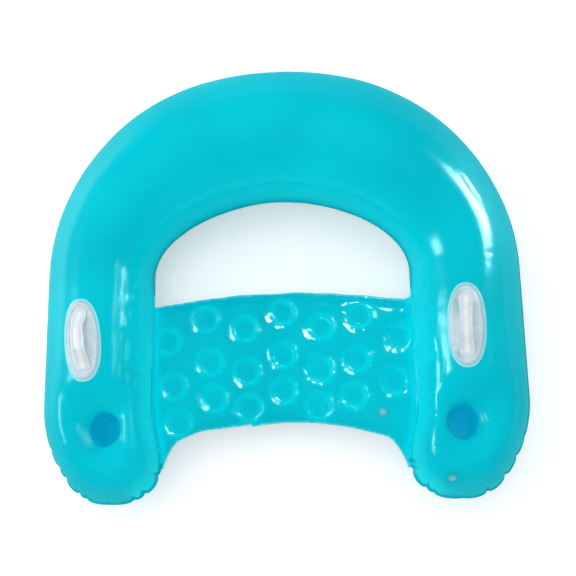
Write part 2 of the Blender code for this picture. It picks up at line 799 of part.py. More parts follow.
def collar_profile():
    """Flange on the sheet, tube through it and a lip at the foot."""
    top = GAP + VALVE_FLANGE_THICKNESS
    bore = COLLAR_RADIUS - COLLAR_WALL
    foot = -COLLAR_DEPTH
    step = foot + COLLAR_LIP_THICKNESS
    outside = [(COLLAR_RADIUS, foot), (COLLAR_RADIUS, GAP)]
    outside += [(VALVE_FLANGE_RADIUS, GAP), (VALVE_FLANGE_RADIUS, top)]
    return outside + [(bore, top), (bore, step), (bore - COLLAR_LIP, step), (bore - COLLAR_LIP, foot)]


def make_plug(name, axis, head_top):
    """Cap with a pin for the bore and a strap to its hinge at the stem's edge."""
    cap_low = head_top + GAP
    cap_high = cap_low + PLUG_THICKNESS
    pin_foot = cap_low - PIN_LENGTH
    profile = [(0.0, pin_foot), (PIN_TIP_RADIUS, pin_foot), (PIN_ROOT_RADIUS, cap_low)]
    profile += [(PLUG_RADIUS, cap_low), (PLUG_RADIUS, cap_high), (0.0, cap_high)]
    hinge_x = -(COLLAR_RADIUS - COLLAR_WALL - GAP)
    hinge = Vector((hinge_x, 0.0, (cap_low + cap_high) / 2))
    mesh = turned(profile, VALVE_SIDES)
    bmesh.ops.translate(mesh, verts=mesh.verts, vec=-hinge)
    plug = new_object(name + "_plug", mesh, MILKY)
    strap = bmesh.new()
    length = -hinge_x - PLUG_RADIUS / 2
    half = PLUG_THICKNESS / 2
    outline = [(length, half), (0.0, half)]
    for step in range(1, PLUG_STRAP_STEPS):
        turn = math.pi / 2 + math.pi * step / PLUG_STRAP_STEPS
        outline.append((half * math.cos(turn), half * math.sin(turn)))
    outline += [(0.0, -half), (length, -half)]
    ends = []
    for across in (-PLUG_STRAP_WIDTH / 2, PLUG_STRAP_WIDTH / 2):
        ends.append([strap.verts.new((x, across, z)) for x, z in outline])
    skin_between(strap, *ends, closed=True)
    for end in ends:
        strap.faces.new(end)
    bmesh.ops.recalc_face_normals(strap, faces=strap.faces)
    tool = new_object(name + "_strap", strap, MILKY)
    combine(plug, tool, "UNION")
    for item in (plug, tool):
        item.parent = axis
        item.location = hinge


def make_valve(name, place, normal, sheet):
    """Collar, stem, plug and check flap on a sheet, and the hole that they need in it."""
    axis = place_axis(name + "_axis", place, normal)
    collar = new_object(name + "_collar", turned(collar_profile(), VALVE_SIDES), PALE)
    hole = COLLAR_RADIUS + GAP
    cut = [(0.0, -COLLAR_DEPTH), (hole, -COLLAR_DEPTH), (hole, CUT_OVERRUN), (0.0, CUT_OVERRUN)]
    cutter = new_object(name + "_hole", turned(cut, VALVE_SIDES), PALE)
    combine(sheet, cutter, "DIFFERENCE")

    head_top = GAP + VALVE_FLANGE_THICKNESS
    foot = -COLLAR_DEPTH + COLLAR_LIP_THICKNESS + GAP
    disc = COLLAR_RADIUS - COLLAR_WALL - GAP
    outside = [(disc, foot), (disc, foot + STEM_DISC), (STEM_RADIUS, foot + STEM_DISC)]
    outside += [(STEM_RADIUS, head_top - STEM_DISC), (disc, head_top - STEM_DISC), (disc, head_top)]
    bore = [(STEM_BORE, head_top), (STEM_BORE, foot)]
    stem = new_object(name + "_stem", turned(outside + bore, VALVE_SIDES), MILKY)

    flap_profile = [(0.0, -FLAP_THICKNESS), (FLAP_RADIUS, -FLAP_THICKNESS), (FLAP_RADIUS, 0.0), (0.0, 0.0)]
    mesh = turned(flap_profile, VALVE_SIDES)
    bmesh.ops.translate(mesh, verts=mesh.verts, vec=(FLAP_RADIUS, 0.0, 0.0))
    flap = new_object(name + "_flap", mesh, MILKY)
    for item in (collar, cutter, stem, flap):
        item.parent = axis
    flap.location = (-FLAP_RADIUS, 0.0, foot - GAP)
    make_plug(name, axis, head_top)


def make_chair():
    """The whole chair, piece by piece."""
    for item in list(bpy.data.objects):
        bpy.data.objects.remove(item, do_unlink=True)
    tube, tube_seat = make_tube()
    mat, mat_seat = make_mat()
    for name, arm in (("left", -1), ("right", 1)):
        make_cup(name, arm)
        make_patch(name, arm)
        make_grip(name, arm)
    make_valve("tube_valve", *tube_seat, tube)
    make_valve("seat_valve", *mat_seat, mat)


make_chair()
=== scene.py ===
from math import acos, atan2, copysign, cos, exp, hypot, pi, radians, sin, sqrt, tan

import bmesh
import bpy
import numpy as np
from mathutils import Matrix, Vector, noise
from mathutils.geometry import delaunay_2d_cdt


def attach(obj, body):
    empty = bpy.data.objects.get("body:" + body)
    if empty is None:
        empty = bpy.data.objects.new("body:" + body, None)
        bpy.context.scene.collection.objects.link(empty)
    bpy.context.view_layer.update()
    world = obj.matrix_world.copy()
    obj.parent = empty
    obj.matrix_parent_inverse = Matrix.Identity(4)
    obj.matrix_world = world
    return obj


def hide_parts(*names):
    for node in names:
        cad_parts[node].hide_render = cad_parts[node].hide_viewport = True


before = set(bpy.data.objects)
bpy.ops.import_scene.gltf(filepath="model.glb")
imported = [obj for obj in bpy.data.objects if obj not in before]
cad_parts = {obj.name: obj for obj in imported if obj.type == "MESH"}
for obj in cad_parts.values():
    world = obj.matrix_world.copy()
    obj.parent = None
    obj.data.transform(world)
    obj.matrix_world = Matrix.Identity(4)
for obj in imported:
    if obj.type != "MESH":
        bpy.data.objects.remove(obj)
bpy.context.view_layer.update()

# Sizes of the solids
VINYL = 0.0004
GAP = 0.0003
SEAM_WIDTH = 0.006
CHAIR_LENGTH = 0.9985
ARM_SPACING = 0.842
ARCH_DEPTH = 0.3255
ARM_RADIUS = 0.120
BACK_RADIUS = 0.1525
BACK_SPREAD_SHARE = 0.8
TIP_LENGTH = 0.155
TIP_POWER = 2.5
TOE_IN = 0.038
TOE_LEAD_SHARE = 0.35
TOE_SPAN_SHARE = 1.25
SETTLE = 0.003
CUP_INSET = 0.022
CUP_REACH = 0.130
CUP_HOLE = 0.038
CUP_DIP = 0.046
CUP_RISE = 0.058
CRATER_START_SHARE = 0.12
CUP_SQUEEZE = 0.008
SLEEVE_WALL = 0.0006
SLEEVE_PROUD = 0.0015
SLEEVE_PINCH = 0.0018
SLEEVE_LIP = 0.005
MAT_SETBACK = 0.040
MAT_LENGTH = 0.300
MAT_REAR_BOW = 0.031
MAT_FRONT_BOW = 0.040
MAT_CORNER = 0.062
MAT_FLARE = 0.085
MAT_FLARE_END = 0.012
MAT_FLARE_BEND_SHARE = 0.35
MAT_CREST = 0.014
MAT_EDGE_FALL = 0.030
MAT_SAG = 0.018
COIN_RADIUS = 0.023
COIN_FALL = 0.019
COIN_SPREAD_SHARE = 0.292
COIN_NARROW_SHARE = 0.05
COIN_ROW_SHARES = (0.16, 0.488, 0.762)
COIN_STAGGER_SHARE = 0.11
COIN_COLUMNS = 7
HANDLE_LENGTH = 0.185
HANDLE_WIDTH = 0.084
HANDLE_POWER = 2.3
HANDLE_AHEAD = 0.1575
HANDLE_ROLLS = {"left": -0.10, "right": -0.16}
HANDLE_TURNS = {"left": 0.10, "right": -0.03}
HANDLE_SHIFTS = {"left": -0.0055, "right": 0.0055}
PATCH_THICKNESS = 0.0012
PATCH_FACE_SHARE = 0.167
PATCH_FLANGE = 0.009
LIP_WIDTH = 0.004
LIP_SLOPE = 0.001
LIP_HEIGHT = 0.004
TRAY_EASE = 0.0022
GRIP_LENGTH = 0.136
GRIP_WIDTH = 0.023
GRIP_FOOT_WIDTH = 0.031
GRIP_THICKNESS = 0.003
GRIP_RISE = 0.022
GRIP_RIB_WIDTH = 0.005
GRIP_RIB_HEIGHT = 0.0025
GRIP_CLIMB_SHARES = (0.84, 0.30)
SEAT_VALVE_INSET = 0.080
SEAT_VALVE_BACK = 0.050
VALVE_FLANGE_RADIUS = 0.0135
COLLAR_RADIUS = 0.009

SKIN = GAP / 2 + VINYL
ARM_X = ARM_SPACING / 2
CUP_Y = -CHAIR_LENGTH / 2 + SEAM_WIDTH + TIP_LENGTH
ARCH_Y = CHAIR_LENGTH / 2 - SEAM_WIDTH - BACK_RADIUS - ARCH_DEPTH
MAT_REAR_Y = ARCH_Y - MAT_SETBACK
MAT_FRONT_Y = MAT_REAR_Y - MAT_LENGTH
SEAM_X = ARM_X - ARM_RADIUS
HANDLE_SEAT = GAP + (HANDLE_WIDTH * PATCH_FACE_SHARE) ** 2 / (8 * ARM_RADIUS)
ARMS = {"left": -1, "right": 1}
UPPER = 1
LOWER = -1

# Where each valve stands on its sheet, which way it points, and the radii
# between which the film eases down to its collar
TUBE_VALVE = (Vector((0.3583, -0.45625, 0.19062)), Vector((-0.079859, -0.661985, 0.74525)), 0.015, 0.030)
SEAT_VALVE = (Vector((0.221, -0.308952, 0.122666)), Vector((-0.102165, -0.001551, 0.994766)), 0.0145, 0.028)
HOLE_MARGIN = 0.0012
HOLE_DEPTH = 0.006

# Places round a cup are numbered across the arm, then down the seat's side, round
# the tip and up the outer side. The mat may be welded on up to MAT_HOLD_END.
CROSS_SPAN = 9
SIDE_SPAN = 2
TIP_SPAN = 10
TIP_START = CROSS_SPAN + SIDE_SPAN
TIP_END = TIP_START + TIP_SPAN
ROUND_SPAN = TIP_END + SIDE_SPAN
MAT_HOLD_END = 14

# Steps of the finished surfaces
RUN_STEPS = 56
ARCH_STEPS = 160
SIDE_STEPS = 36
TIP_STEPS = 220
LOWER_TURN_STEPS = 44
OUTER_TURN_STEPS = 46
INNER_TURN_STEPS = 50
INNER_TURN_START = 104
CRATER_STEPS = {UPPER: 52, LOWER: 30}
CRATER_RIM_STEPS = 16
CRATER_RIM_SHARE = 0.86
MAT_EDGE_STEPS = 110
MAT_FLARE_STEPS = 16
MAT_GRID = 0.0040
MAT_GRID_LENGTH = 0.42
MAT_GRID_HALF_WIDTH = 0.34
MAT_GRID_INSET = 0.0022
MAT_EDGE_EASE = 0.024

# Rings of points round a tuft and round the mat's valve, and the radii between
# which they replace the grid
COIN_RINGS = (0.0150, 0.0175, 0.0190, 0.0205, 0.0220, 0.0230, 0.0238, 0.0250, 0.0266, 0.0288, 0.0308, 0.0320,
              0.0332)
COIN_CLEAR = (0.0130, 0.0350)
VALVE_RINGS = (0.0095, 0.0135, 0.0165, 0.0200, 0.0240)
VALVE_CLEAR = (0.0075, 0.026)

# Steps over the width of the flat weld: share, and level of the weld mask
EDGE_STEPS = ((0.45, 1.0), (0.8, 2.0), (1.0, 2.0))
WELD_EASE = 0.004

# Puckers of the weld round each tip: share of the way from the seat's side to
# the outer side, and depth
PUCKER_REACH = 0.0065
PUCKER_WIDTH = 0.0045
PUCKERS = {
    "left": ((0.06, 0.0025), (0.1925, 0.0062), (0.325, 0.0068), (0.400, 0.0050), (0.52, 0.0010),
             (0.6325, 0.0045), (0.685, 0.0064), (0.8025, 0.0060), (0.8675, 0.0048), (0.95, 0.0020)),
    "right": ((0.05, 0.0025), (0.15, 0.0062), (0.1875, 0.0054), (0.3175, 0.0068), (0.3675, 0.0040),
              (0.50, 0.0012), (0.6275, 0.0066), (0.7675, 0.0066), (0.8775, 0.0048), (0.96, 0.0020)),
}

# Sharp folds in each arm's film: x and y of both ends, width and depth
CREASES = {
    "left": (),
    "right": ((0.409, 0.200, 0.449, 0.136, 0.0020, 0.0016), (0.452, 0.024, 0.484, 0.018, 0.0016, 0.0009),
              (0.455, 0.004, 0.486, -0.012, 0.0016, 0.0006)),
}

# Wrinkles where the mat pulls on each arm: strength, and seed of the noise
WRINKLES = {"left": (0.0036, 3.0), "right": (0.0017, 8.0)}

# Round each cup: seed of the slack folds, and the sharp folds by angle and width
CUP_SEEDS = {"left": 2.0, "right": 6.0}
CUP_FOLDS = {"left": (), "right": ((2.80, 0.0024), (0.14, 0.0022))}

# Rounding of the mat's rear corners: reach and rise
REAR_CORNERS = {"left": (0.014, 0.007), "right": (0.030, 0.026)}

# Painted shadows in each handle's tray: place along it, and reach
TRAY_SHADOWS = {"left": (), "right": ((0.044, 0.026), (-0.064, 0.014))}


def smooth(share):
    """Ease from 0 to 1 as the share goes from 0 to 1."""
    share = min(max(share, 0.0), 1.0)
    return share * share * (3.0 - 2.0 * share)


def rise(value, start, span):
    """0 up to the start, easing to 1 over the span."""
    return smooth((value - start) / span)


def fall(value, end, span):
    """1 at first, easing to 0 over the span before the end."""
    return smooth((end - value) / span)


def puff(share):
    """Rise from 0 to 1, steep at the start and level at the end."""
    share = min(max(share, 0.0), 1.0)
    return 1.0 - (1.0 - share) ** 2


def bell(distance, width):
    """1 in the middle, falling off over the width on both sides."""
    return exp(-(distance / width) ** 2)


def wave(x, y, z):
    """Smooth noise from about -1 to 1."""
    return noise.noise(Vector((x, y, z)))


def plan_wave(plan, waves, seed):
    """Noise over the plan, with this many steps a metre."""
    return wave(plan.x * waves, plan.y * waves, seed)


def round_wave(turn, waves, seed):
    """Noise round a circle, without a break at the full turn."""
    return wave(cos(turn) * waves, sin(turn) * waves, seed)


def even_shares(count):
    """Shares from 0 to 1 in even steps."""
    return [step / count for step in range(count + 1)]


def full_turn(sides):
    """Angles once round."""
    return [2 * pi * step / sides for step in range(sides)]


def ripple(spot, size, seed):
    """Noise in space, with waves of this size."""
    return wave(spot[0] / size, spot[1] / size, spot[2] / size + seed)


def seam_level(radius):
    """Height of the seam of a tube that settles a little where it stands."""
    return radius + SKIN - SETTLE


def round_power(value, power):
    """Sine or cosine, bent to draw an oval with squarer corners."""
    return copysign(abs(value) ** (2.0 / power), value)


# Plan of the ring tube

def arch_station(share):
    """Centre, outward direction and radius, from the arm's end at 0 to the back rest's middle at 1."""
    turn = share * pi / 2
    centre = Vector((ARM_X * cos(turn), ARCH_Y + ARCH_DEPTH * sin(turn)))
    outward = Vector((ARCH_DEPTH * cos(turn), ARM_X * sin(turn))).normalized()
    growth = smooth(share / BACK_SPREAD_SHARE)
    return centre, outward, ARM_RADIUS + (BACK_RADIUS - ARM_RADIUS) * growth


def stations(run_steps, arch_steps):
    """Sections of one half, from the cup's reach along the arm and over the arch."""
    places = []
    for share in even_shares(run_steps)[:-1]:
        y = (CUP_Y + CUP_REACH) * (1 - share) + ARCH_Y * share
        places.append((Vector((ARM_X, y)), Vector((1.0, 0.0)), ARM_RADIUS))
    return places + [arch_station(share) for share in even_shares(arch_steps)]


def toe(along):
    """How far the arm leans in, at this distance behind the cup."""
    return TOE_IN * fall(along / TIP_LENGTH, TOE_LEAD_SHARE, TOE_SPAN_SHARE)


def arm_plan(across, along):
    return Vector((ARM_X + across - toe(along), CUP_Y + along))


def outline_point(place, grow):
    """Point of the outline round the cup, grown by this much."""
    half = ARM_RADIUS + grow
    if place <= CROSS_SPAN:
        return arm_plan(half * cos(pi * place / CROSS_SPAN), CUP_REACH)
    if place <= TIP_START:
        return arm_plan(-half, CUP_REACH * (TIP_START - place) / SIDE_SPAN)
    if place <= TIP_END:
        turn = pi * (1 + (place - TIP_START) / TIP_SPAN)
        across = half * round_power(cos(turn), TIP_POWER)
        return arm_plan(across, (TIP_LENGTH + grow) * round_power(sin(turn), TIP_POWER))
    return arm_plan(half, CUP_REACH * (place - TIP_END) / SIDE_SPAN)


CUP_CENTRE = arm_plan(-CUP_INSET, 0.0)


def cup_point(place, radius):
    """Corner round the cup in step with the outline."""
    turn = pi / 2 + (place - CROSS_SPAN / 2) * 2 * pi / ROUND_SPAN
    return CUP_CENTRE + squeeze(turn, radius)


def squeeze(turn, radius):
    """The cup's mouth, drawn in on the outer side by the film's pull."""
    spot = radius * Vector((cos(turn), sin(turn)))
    spot.x -= CUP_SQUEEZE * rise(spot.x / radius, -0.35, 1.35)
    return spot


def cup_rim(side):
    """Height of a sheet at the cup's hole."""
    if side == UPPER:
        return seam_level(ARM_RADIUS) + SKIN + ARM_RADIUS - CUP_DIP
    return CUP_RISE


def dome(plan):
    """Height of the blown-up tube near the cup, as a share of its radius."""
    along = plan.y - CUP_Y
    spread = abs(plan.x - ARM_X + toe(along)) / ARM_RADIUS
    if along < 0:
        spread = (spread ** TIP_POWER + (-along / TIP_LENGTH) ** TIP_POWER) ** (1 / TIP_POWER)
    return sqrt(max(1.0 - spread * spread, 0.0))


def tip_height(plan, share, side):
    """Height of a sheet round the cup, sunk to the well at a share of 1."""
    blown = seam_level(ARM_RADIUS) + side * (SKIN + ARM_RADIUS * dome(plan))
    sunk = max((share - CRATER_START_SHARE) / (1 - CRATER_START_SHARE), 0.0) ** 2
    return max(blown * (1 - sunk) + cup_rim(side) * sunk, 0.0)


# Building meshes

def add_object(name, data):
    """New object in the scene."""
    item = bpy.data.objects.new(name, data)
    bpy.context.scene.collection.objects.link(item)
    return item


class Skin:
    """Points and faces of a piece. Each point may be lifted off the surface and carries two masks.
    weld is 1 on a weld and 2 at its cut edge; the shading mask paints light and shade: it brightens shaded
    grooves of the film and darkens shadows in the handles' trays."""

    def __init__(self):
        self.points = []
        self.faces = []
        self.levels = {"weld": [], "painted_shading": [], "lift": []}

    def add(self, point, lift=0.0, weld=0.0, painted_shading=0.0):
        self.points.append(tuple(point))
        for name, level in (("weld", weld), ("painted_shading", painted_shading), ("lift", lift)):
            self.levels[name].append(level)
        return len(self.points) - 1

    def loft(self, rows, closed=False):
        """Quads between each row of points and the next."""
        for first, second in zip(rows, rows[1:]):
            count = len(first)
            for index in range(count if closed else count - 1):
                after = (index + 1) % count
                self.faces.append((first[index], first[after], second[after], second[index]))

    def loft_solid(self, rings):
        """Quads between rings of points, and a face on the first and the last."""
        self.loft(rings, closed=True)
        self.faces += [tuple(rings[0]), tuple(rings[-1])]

    def build(self, name, finish, merge=0.00002):
        """Object from the skin, facing out, with its lifts applied and its masks stored."""
        data = bpy.data.meshes.new(name)
        data.from_pydata(self.points, [], self.faces)
        for mask, levels in self.levels.items():
            values = data.attributes.new(mask, "FLOAT", "POINT").data
            values.foreach_set("value", np.array(levels, np.float32))
        mesh = bmesh.new()
        mesh.from_mesh(data)
        bmesh.ops.remove_doubles(mesh, verts=mesh.verts, dist=merge)
        bmesh.ops.recalc_face_normals(mesh, faces=mesh.faces)
        mesh.normal_update()
        layer = mesh.verts.layers.float["lift"]
        moves = [vertex.normal * vertex[layer] for vertex in mesh.verts]
        for vertex, move in zip(mesh.verts, moves):
            vertex.co += move
        mesh.to_mesh(data)
        mesh.free()
        data.attributes.remove(data.attributes["lift"])
        data.shade_smooth()
        data.materials.append(finish)
        return add_object(name, data)


# Ring tube

def section_turns(side):
    """Angles over the tube from the outer to the inner seam, closest where the mat wrinkles the film."""
    if side == LOWER:
        return [pi * step / LOWER_TURN_STEPS for step in range(LOWER_TURN_STEPS + 1)]
    turns = [radians(INNER_TURN_START) * step / OUTER_TURN_STEPS for step in range(OUTER_TURN_STEPS)]
    for step in range(INNER_TURN_STEPS + 1):
        turns.append(radians(INNER_TURN_START + (180 - INNER_TURN_START) * step / INNER_TURN_STEPS))
    return turns


def crater_shares(side):
    """Steps from the seam to the cup's hole, close together at both ends."""
    count = CRATER_STEPS[side]
    near = CRATER_RIM_SHARE
    shares = [1 - cos(pi / 2 * step / count) for step in range(1, count)]
    shares = [share for share in shares if share < near]
    return shares + [near + (1 - near) * share for share in even_shares(CRATER_RIM_STEPS)]


def pucker_pull(travel, marks):
    """How far the weld is drawn in, at this distance along the tip's outline."""
    return sum(depth * exp(-abs(travel - spot) / PUCKER_REACH) for spot, depth in marks)


def pucker_crease(travel, marks):
    """Depth of the folds that run up the film from the puckers."""
    return sum(depth * bell(travel - spot, PUCKER_WIDTH) for spot, depth in marks)


def valve_seat(point, valve):
    """The point, eased down to the plane under the valve's collar, and the share of relief that it keeps."""
    place, normal, near, far = valve
    reach = (Vector(point[:2]) - place.xy).length
    if reach >= far:
        return point, 1.0
    flat = place.z - (normal.x * (point[0] - place.x) + normal.y * (point[1] - place.y)) / normal.z
    relief = rise(reach, near, far - near)
    share = 1 - relief
    return (point[0], point[1], point[2] * (1 - share) + (flat - GAP / 2) * share), relief


def arm_wrinkle(name, point, side):
    """Fine creases along the arm where the mat pulls on it."""
    if side == LOWER:
        return 0.0
    inward, y = ARM_X - abs(point[0]), point[1]
    pulled = rise(inward, 0.052, 0.030) * fall(y, 0.02, 0.05) * rise(y, -0.33, 0.10)
    strength, seed = WRINKLES[name]
    folds = wave(inward * 120, y * 30, seed)
    wander = wave(inward * 40, y * 12, seed + 5)
    return strength * pulled * (folds * abs(folds) * 1.8 + 0.35 * wander)


def film_swell(name, point):
    """Slow unevenness of the blown-up film."""
    seed = ARMS[name] * 5.0
    return 0.0010 * ripple(point, 0.12, seed) + 0.0003 * ripple(point, 0.035, seed + 2)


def seam_pucker(name, seam, depth, strength=1.0):
    """Small gathers that run up from the seam."""
    if depth > 0.12:
        return 0.0
    short = ripple((seam.x, seam.y, 0.0), 0.0115, ARMS[name] * 3.0)
    long = ripple((seam.x, seam.y, 0.0), 0.030, ARMS[name] * 7.0)
    return strength * (0.0008 * short * exp(-depth / 0.020) + 0.0011 * long * exp(-depth / 0.045))


def crease(name, plan):
    """Sharp folds in the film."""
    lift = 0.0
    for x0, y0, x1, y1, width, depth in CREASES[name]:
        run = Vector((x1 - x0, y1 - y0))
        share = (plan - Vector((x0, y0))).dot(run) / run.length_squared
        if 0 < share < 1:
            off = (plan - Vector((x0, y0)) - run * share).length
            lift -= depth * bell(off, width) * sin(pi * share) ** 0.6
    return lift


def cup_crease(name, plan):
    """Weld ring of the cup well and the creases that run out from its rim."""
    spot = plan - CUP_CENTRE
    reach = spot.length
    turn = atan2(spot.y, spot.x)
    ring = 0.0006 * bell(reach - 0.0412, 0.0012) + 0.0005 * bell(reach - 0.0458, 0.0012)
    fade = rise(reach, 0.040, 0.010) * fall(reach, 0.090, 0.040)
    folds = 0.0016 * fade * round_wave(turn, 3.2, CUP_SEEDS[name] + reach * 9)
    for angle, width in CUP_FOLDS[name]:
        if cos(turn - angle) > 0:
            fold = rise(reach, 0.044, 0.01) * fall(reach, 0.112, 0.03)
            folds -= 0.0014 * fold * bell(reach * sin(turn - angle), width)
    return ring + folds


def edge_wave(name, plan):
    """Slight waviness of the flat weld."""
    return 0.0009 * plan_wave(plan, 55, ARMS[name] * 2.0)


def on_side(name, plan, height):
    """Point on this arm or its half of the back rest, from its plan on the right."""
    return (ARMS[name] * plan.x, plan.y, height)


def tube_rows(skin, name, side, turns):
    """Rows of points over the arm and half of the back rest, from the outer to the inner cut edge."""
    last = len(turns) - 1
    rows = []
    for centre, outward, radius in stations(RUN_STEPS, ARCH_STEPS):
        level = seam_level(radius) + side * SKIN
        outer, inner = centre + radius * outward, centre - radius * outward
        row = []
        for share, weld in reversed(EDGE_STEPS):
            plan = centre + (radius + SEAM_WIDTH * share) * outward
            row.append(skin.add(on_side(name, plan, level + edge_wave(name, plan)), 0.0, weld))
        for step, turn in enumerate(turns):
            height = level + side * radius * sin(turn)
            plan = centre + radius * cos(turn) * outward
            point = on_side(name, plan, max(height, 0.0))
            lift = 0.0
            if 0 < step < last and height > 0.01:
                lift = film_swell(name, point) + arm_wrinkle(name, point, side)
                lift += seam_pucker(name, outer, radius * turn, 0.8)
                lift += seam_pucker(name, inner, radius * (pi - turn))
                if side == UPPER:
                    lift += crease(name, plan)
                lift *= smooth(radius * min(turn, pi - turn) / WELD_EASE)
            # Painted light: the colour is brightened in the shaded groove beside the mat and over the tube's
            # inner side.
            painted_shading = painted_valley_light(point, side)
            if side == UPPER:
                painted_shading = max(painted_shading, 0.8 * rise(turn, radians(112), radians(60)))
            row.append(skin.add(point, lift, 0.6 if step in (0, last) else 0.0, painted_shading))
        for share, weld in EDGE_STEPS:
            plan = centre - (radius + SEAM_WIDTH * share) * outward
            point = on_side(name, plan, level + edge_wave(name, plan))
            # Where the mat is held under the weld, the flange gets painted light instead of the weld tint, to
            # brighten its shade.
            held = 1.0 if plan.y < MAT_REAR_Y else 0.0
            row.append(skin.add(point, 0.0, (1 - held) * weld, held))
        rows.append(row)
    skin.loft(rows)
    return rows


def ring_half(skin, name, side):
    """One arm and half of the back rest, of the upper or lower sheet. Returns the points along its cut edge."""
    turns = section_turns(side)
    first_seam = len(turns)
    rows = tube_rows(skin, name, side, turns)

    # The seam round the cup, and how far along it each pucker lies
    places = [CROSS_SPAN * turn / pi for turn in turns]
    for start, span, steps in ((CROSS_SPAN, SIDE_SPAN, SIDE_STEPS), (TIP_START, TIP_SPAN, TIP_STEPS),
                               (TIP_END, SIDE_SPAN, SIDE_STEPS)):
        places += [start + span * (step + 1) / steps for step in range(steps)]
    del places[-1]
    seam = [outline_point(place, 0.0) for place in places]
    travels = [0.0]
    for first, second in zip(seam, seam[1:]):
        travels.append(travels[-1] + (second - first).length)
    tip = first_seam - 1 + SIDE_STEPS
    marks = [(travels[tip + round(share * TIP_STEPS)], depth) for share, depth in PUCKERS[name]]

    # The flat weld, drawn in at the puckers
    level = seam_level(ARM_RADIUS) + side * SKIN
    flat = len(EDGE_STEPS)
    outline = rows[0][flat:-flat]
    edges = [[index] for index in rows[0][-flat:]]
    plans = list(seam)
    for index in range(first_seam, len(seam)):
        pull = pucker_pull(travels[index], marks)
        inward = (CUP_CENTRE - seam[index]).normalized()
        plans[index] = seam[index] + inward * pull
        outline.append(skin.add(on_side(name, plans[index], level), 0.0, 0.6))
        for row, (share, weld) in zip(edges, EDGE_STEPS):
            plan = outline_point(places[index], SEAM_WIDTH * share) + inward * pull
            height = level + edge_wave(name, plan) - 0.35 * pull * share
            # Where the mat is held under the weld, the flange gets painted light instead of the weld tint, to
            # brighten its shade.
            held = 1.0 if places[index] < MAT_HOLD_END and plan.y > MAT_FRONT_Y - MAT_FLARE else 0.0
            row.append(skin.add(on_side(name, plan, height), 0.0, (1 - held) * weld, held))
    for row, index in zip(edges, reversed(rows[0][:flat])):
        row.append(index)
    skin.loft([outline[first_seam - 1:] + [outline[0]]] + edges)

    # Rings of points from the seam into the cup's well
    rings = [outline]
    for share in crater_shares(side):
        ring = []
        for index, place in enumerate(places):
            plan = seam[index].lerp(cup_point(place, CUP_HOLE), share)
            height = tip_height(plan, share, side)
            depth = hypot(height - level, (plan - seam[index]).length)
            point = on_side(name, plan, height)
            lift = 0.0
            if height > 0.01:
                lift = film_swell(name, point) + arm_wrinkle(name, point, side)
                if side == UPPER:
                    lift += cup_crease(name, plan) + crease(name, plan)
                lift += tip_gathers(name, plan, seam[index], place, depth)
                if index >= first_seam:
                    lift -= 0.60 * pucker_crease(travels[index], marks) * exp(-(depth / 0.050) ** 1.5)
                    lift *= smooth(depth / WELD_EASE)
            plan = plan + (plans[index] - seam[index]) * exp(-(depth / 0.028) ** 1.3)
            point = on_side(name, plan, height)
            if side == UPPER and name == "right":
                point, relief = valve_seat(point, TUBE_VALVE)
                lift *= relief
            ringed = 0.0
            if side == UPPER:
                ringed = 0.35 * fall((plan - CUP_CENTRE).length, 0.0425, 0.002)
            # Painted light brightens the shaded groove beside the mat
            ring.append(skin.add(point, lift, ringed, painted_valley_light(point, side)))
        rings.append(ring)
    skin.loft(rings, closed=True)
    return [row[-1] for row in reversed(rows)] + edges[-1][1:-1] + [row[0] for row in rows]


def tip_gathers(name, plan, seam, place, depth):
    """Gathers round the tip, and along the arm's two seams beside the cup."""
    if TIP_START < place < TIP_END:
        return seam_pucker(name, seam, depth, 1.7)
    along = plan.y - CUP_Y
    middle = ARM_X - toe(along)
    turn = acos(min(max((plan.x - middle) / ARM_RADIUS, -1.0), 1.0))
    outer, inner = Vector((middle + ARM_RADIUS, plan.y)), Vector((middle - ARM_RADIUS, plan.y))
    lift = seam_pucker(name, outer, ARM_RADIUS * turn, 0.8)
    return lift + seam_pucker(name, inner, ARM_RADIUS * (pi - turn))


def painted_valley_light(point, side):
    """How much painted light brightens the shaded groove between the arm and the mat."""
    if side == LOWER:
        return 0.0
    inward = ARM_X - abs(point[0])
    return fall(point[2], 0.205, 0.07) * rise(inward, 0.06, 0.04) * fall(point[1], 0.05, 0.08)


def make_ring_film(finish):
    """The whole ring tube as one piece: both sheets, joined at the edge of the weld."""
    skin = Skin()
    for name in ARMS:
        skin.loft([ring_half(skin, name, side) for side in (UPPER, LOWER)])
    film = skin.build("ring_tube_film", finish)
    cut_hole(film, TUBE_VALVE)
    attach(film, "chair")
    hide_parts("tube_upper_sheet", "tube_lower_sheet")


def cut_hole(item, valve):
    """Open the film under a valve's collar."""
    place, normal = valve[:2]
    mesh = bmesh.new()
    mesh.from_mesh(item.data)
    gone = []
    for face in mesh.faces:
        spot = face.calc_center_median() - place
        height = spot.dot(normal)
        if abs(height) < HOLE_DEPTH and (spot - normal * height).length < COLLAR_RADIUS + HOLE_MARGIN:
            gone.append(face)
    bmesh.ops.delete(mesh, geom=gone, context="FACES")
    mesh.to_mesh(item.data)
    mesh.free()


# Seat mat

SEAM_PATH = [centre - radius * outward for centre, outward, radius in reversed(stations(2, 10))]
SEAM_PATH += [outline_point(place, 0.0) for place in range(CROSS_SPAN + 1, TIP_START + 6)]


def seam_x(y):
    for first, second in zip(SEAM_PATH, SEAM_PATH[1:]):
        if second.y <= y <= first.y:
            return first.x + (second.x - first.x) * (y - first.y) / (second.y - first.y)
    return SEAM_PATH[-1].x


def mat_rear(x):
    return MAT_REAR_Y - MAT_REAR_BOW * (x / SEAM_X) ** 2


def mat_front(x):
    return MAT_FRONT_Y - MAT_FRONT_BOW * (x / (SEAM_X - MAT_CORNER)) ** 2


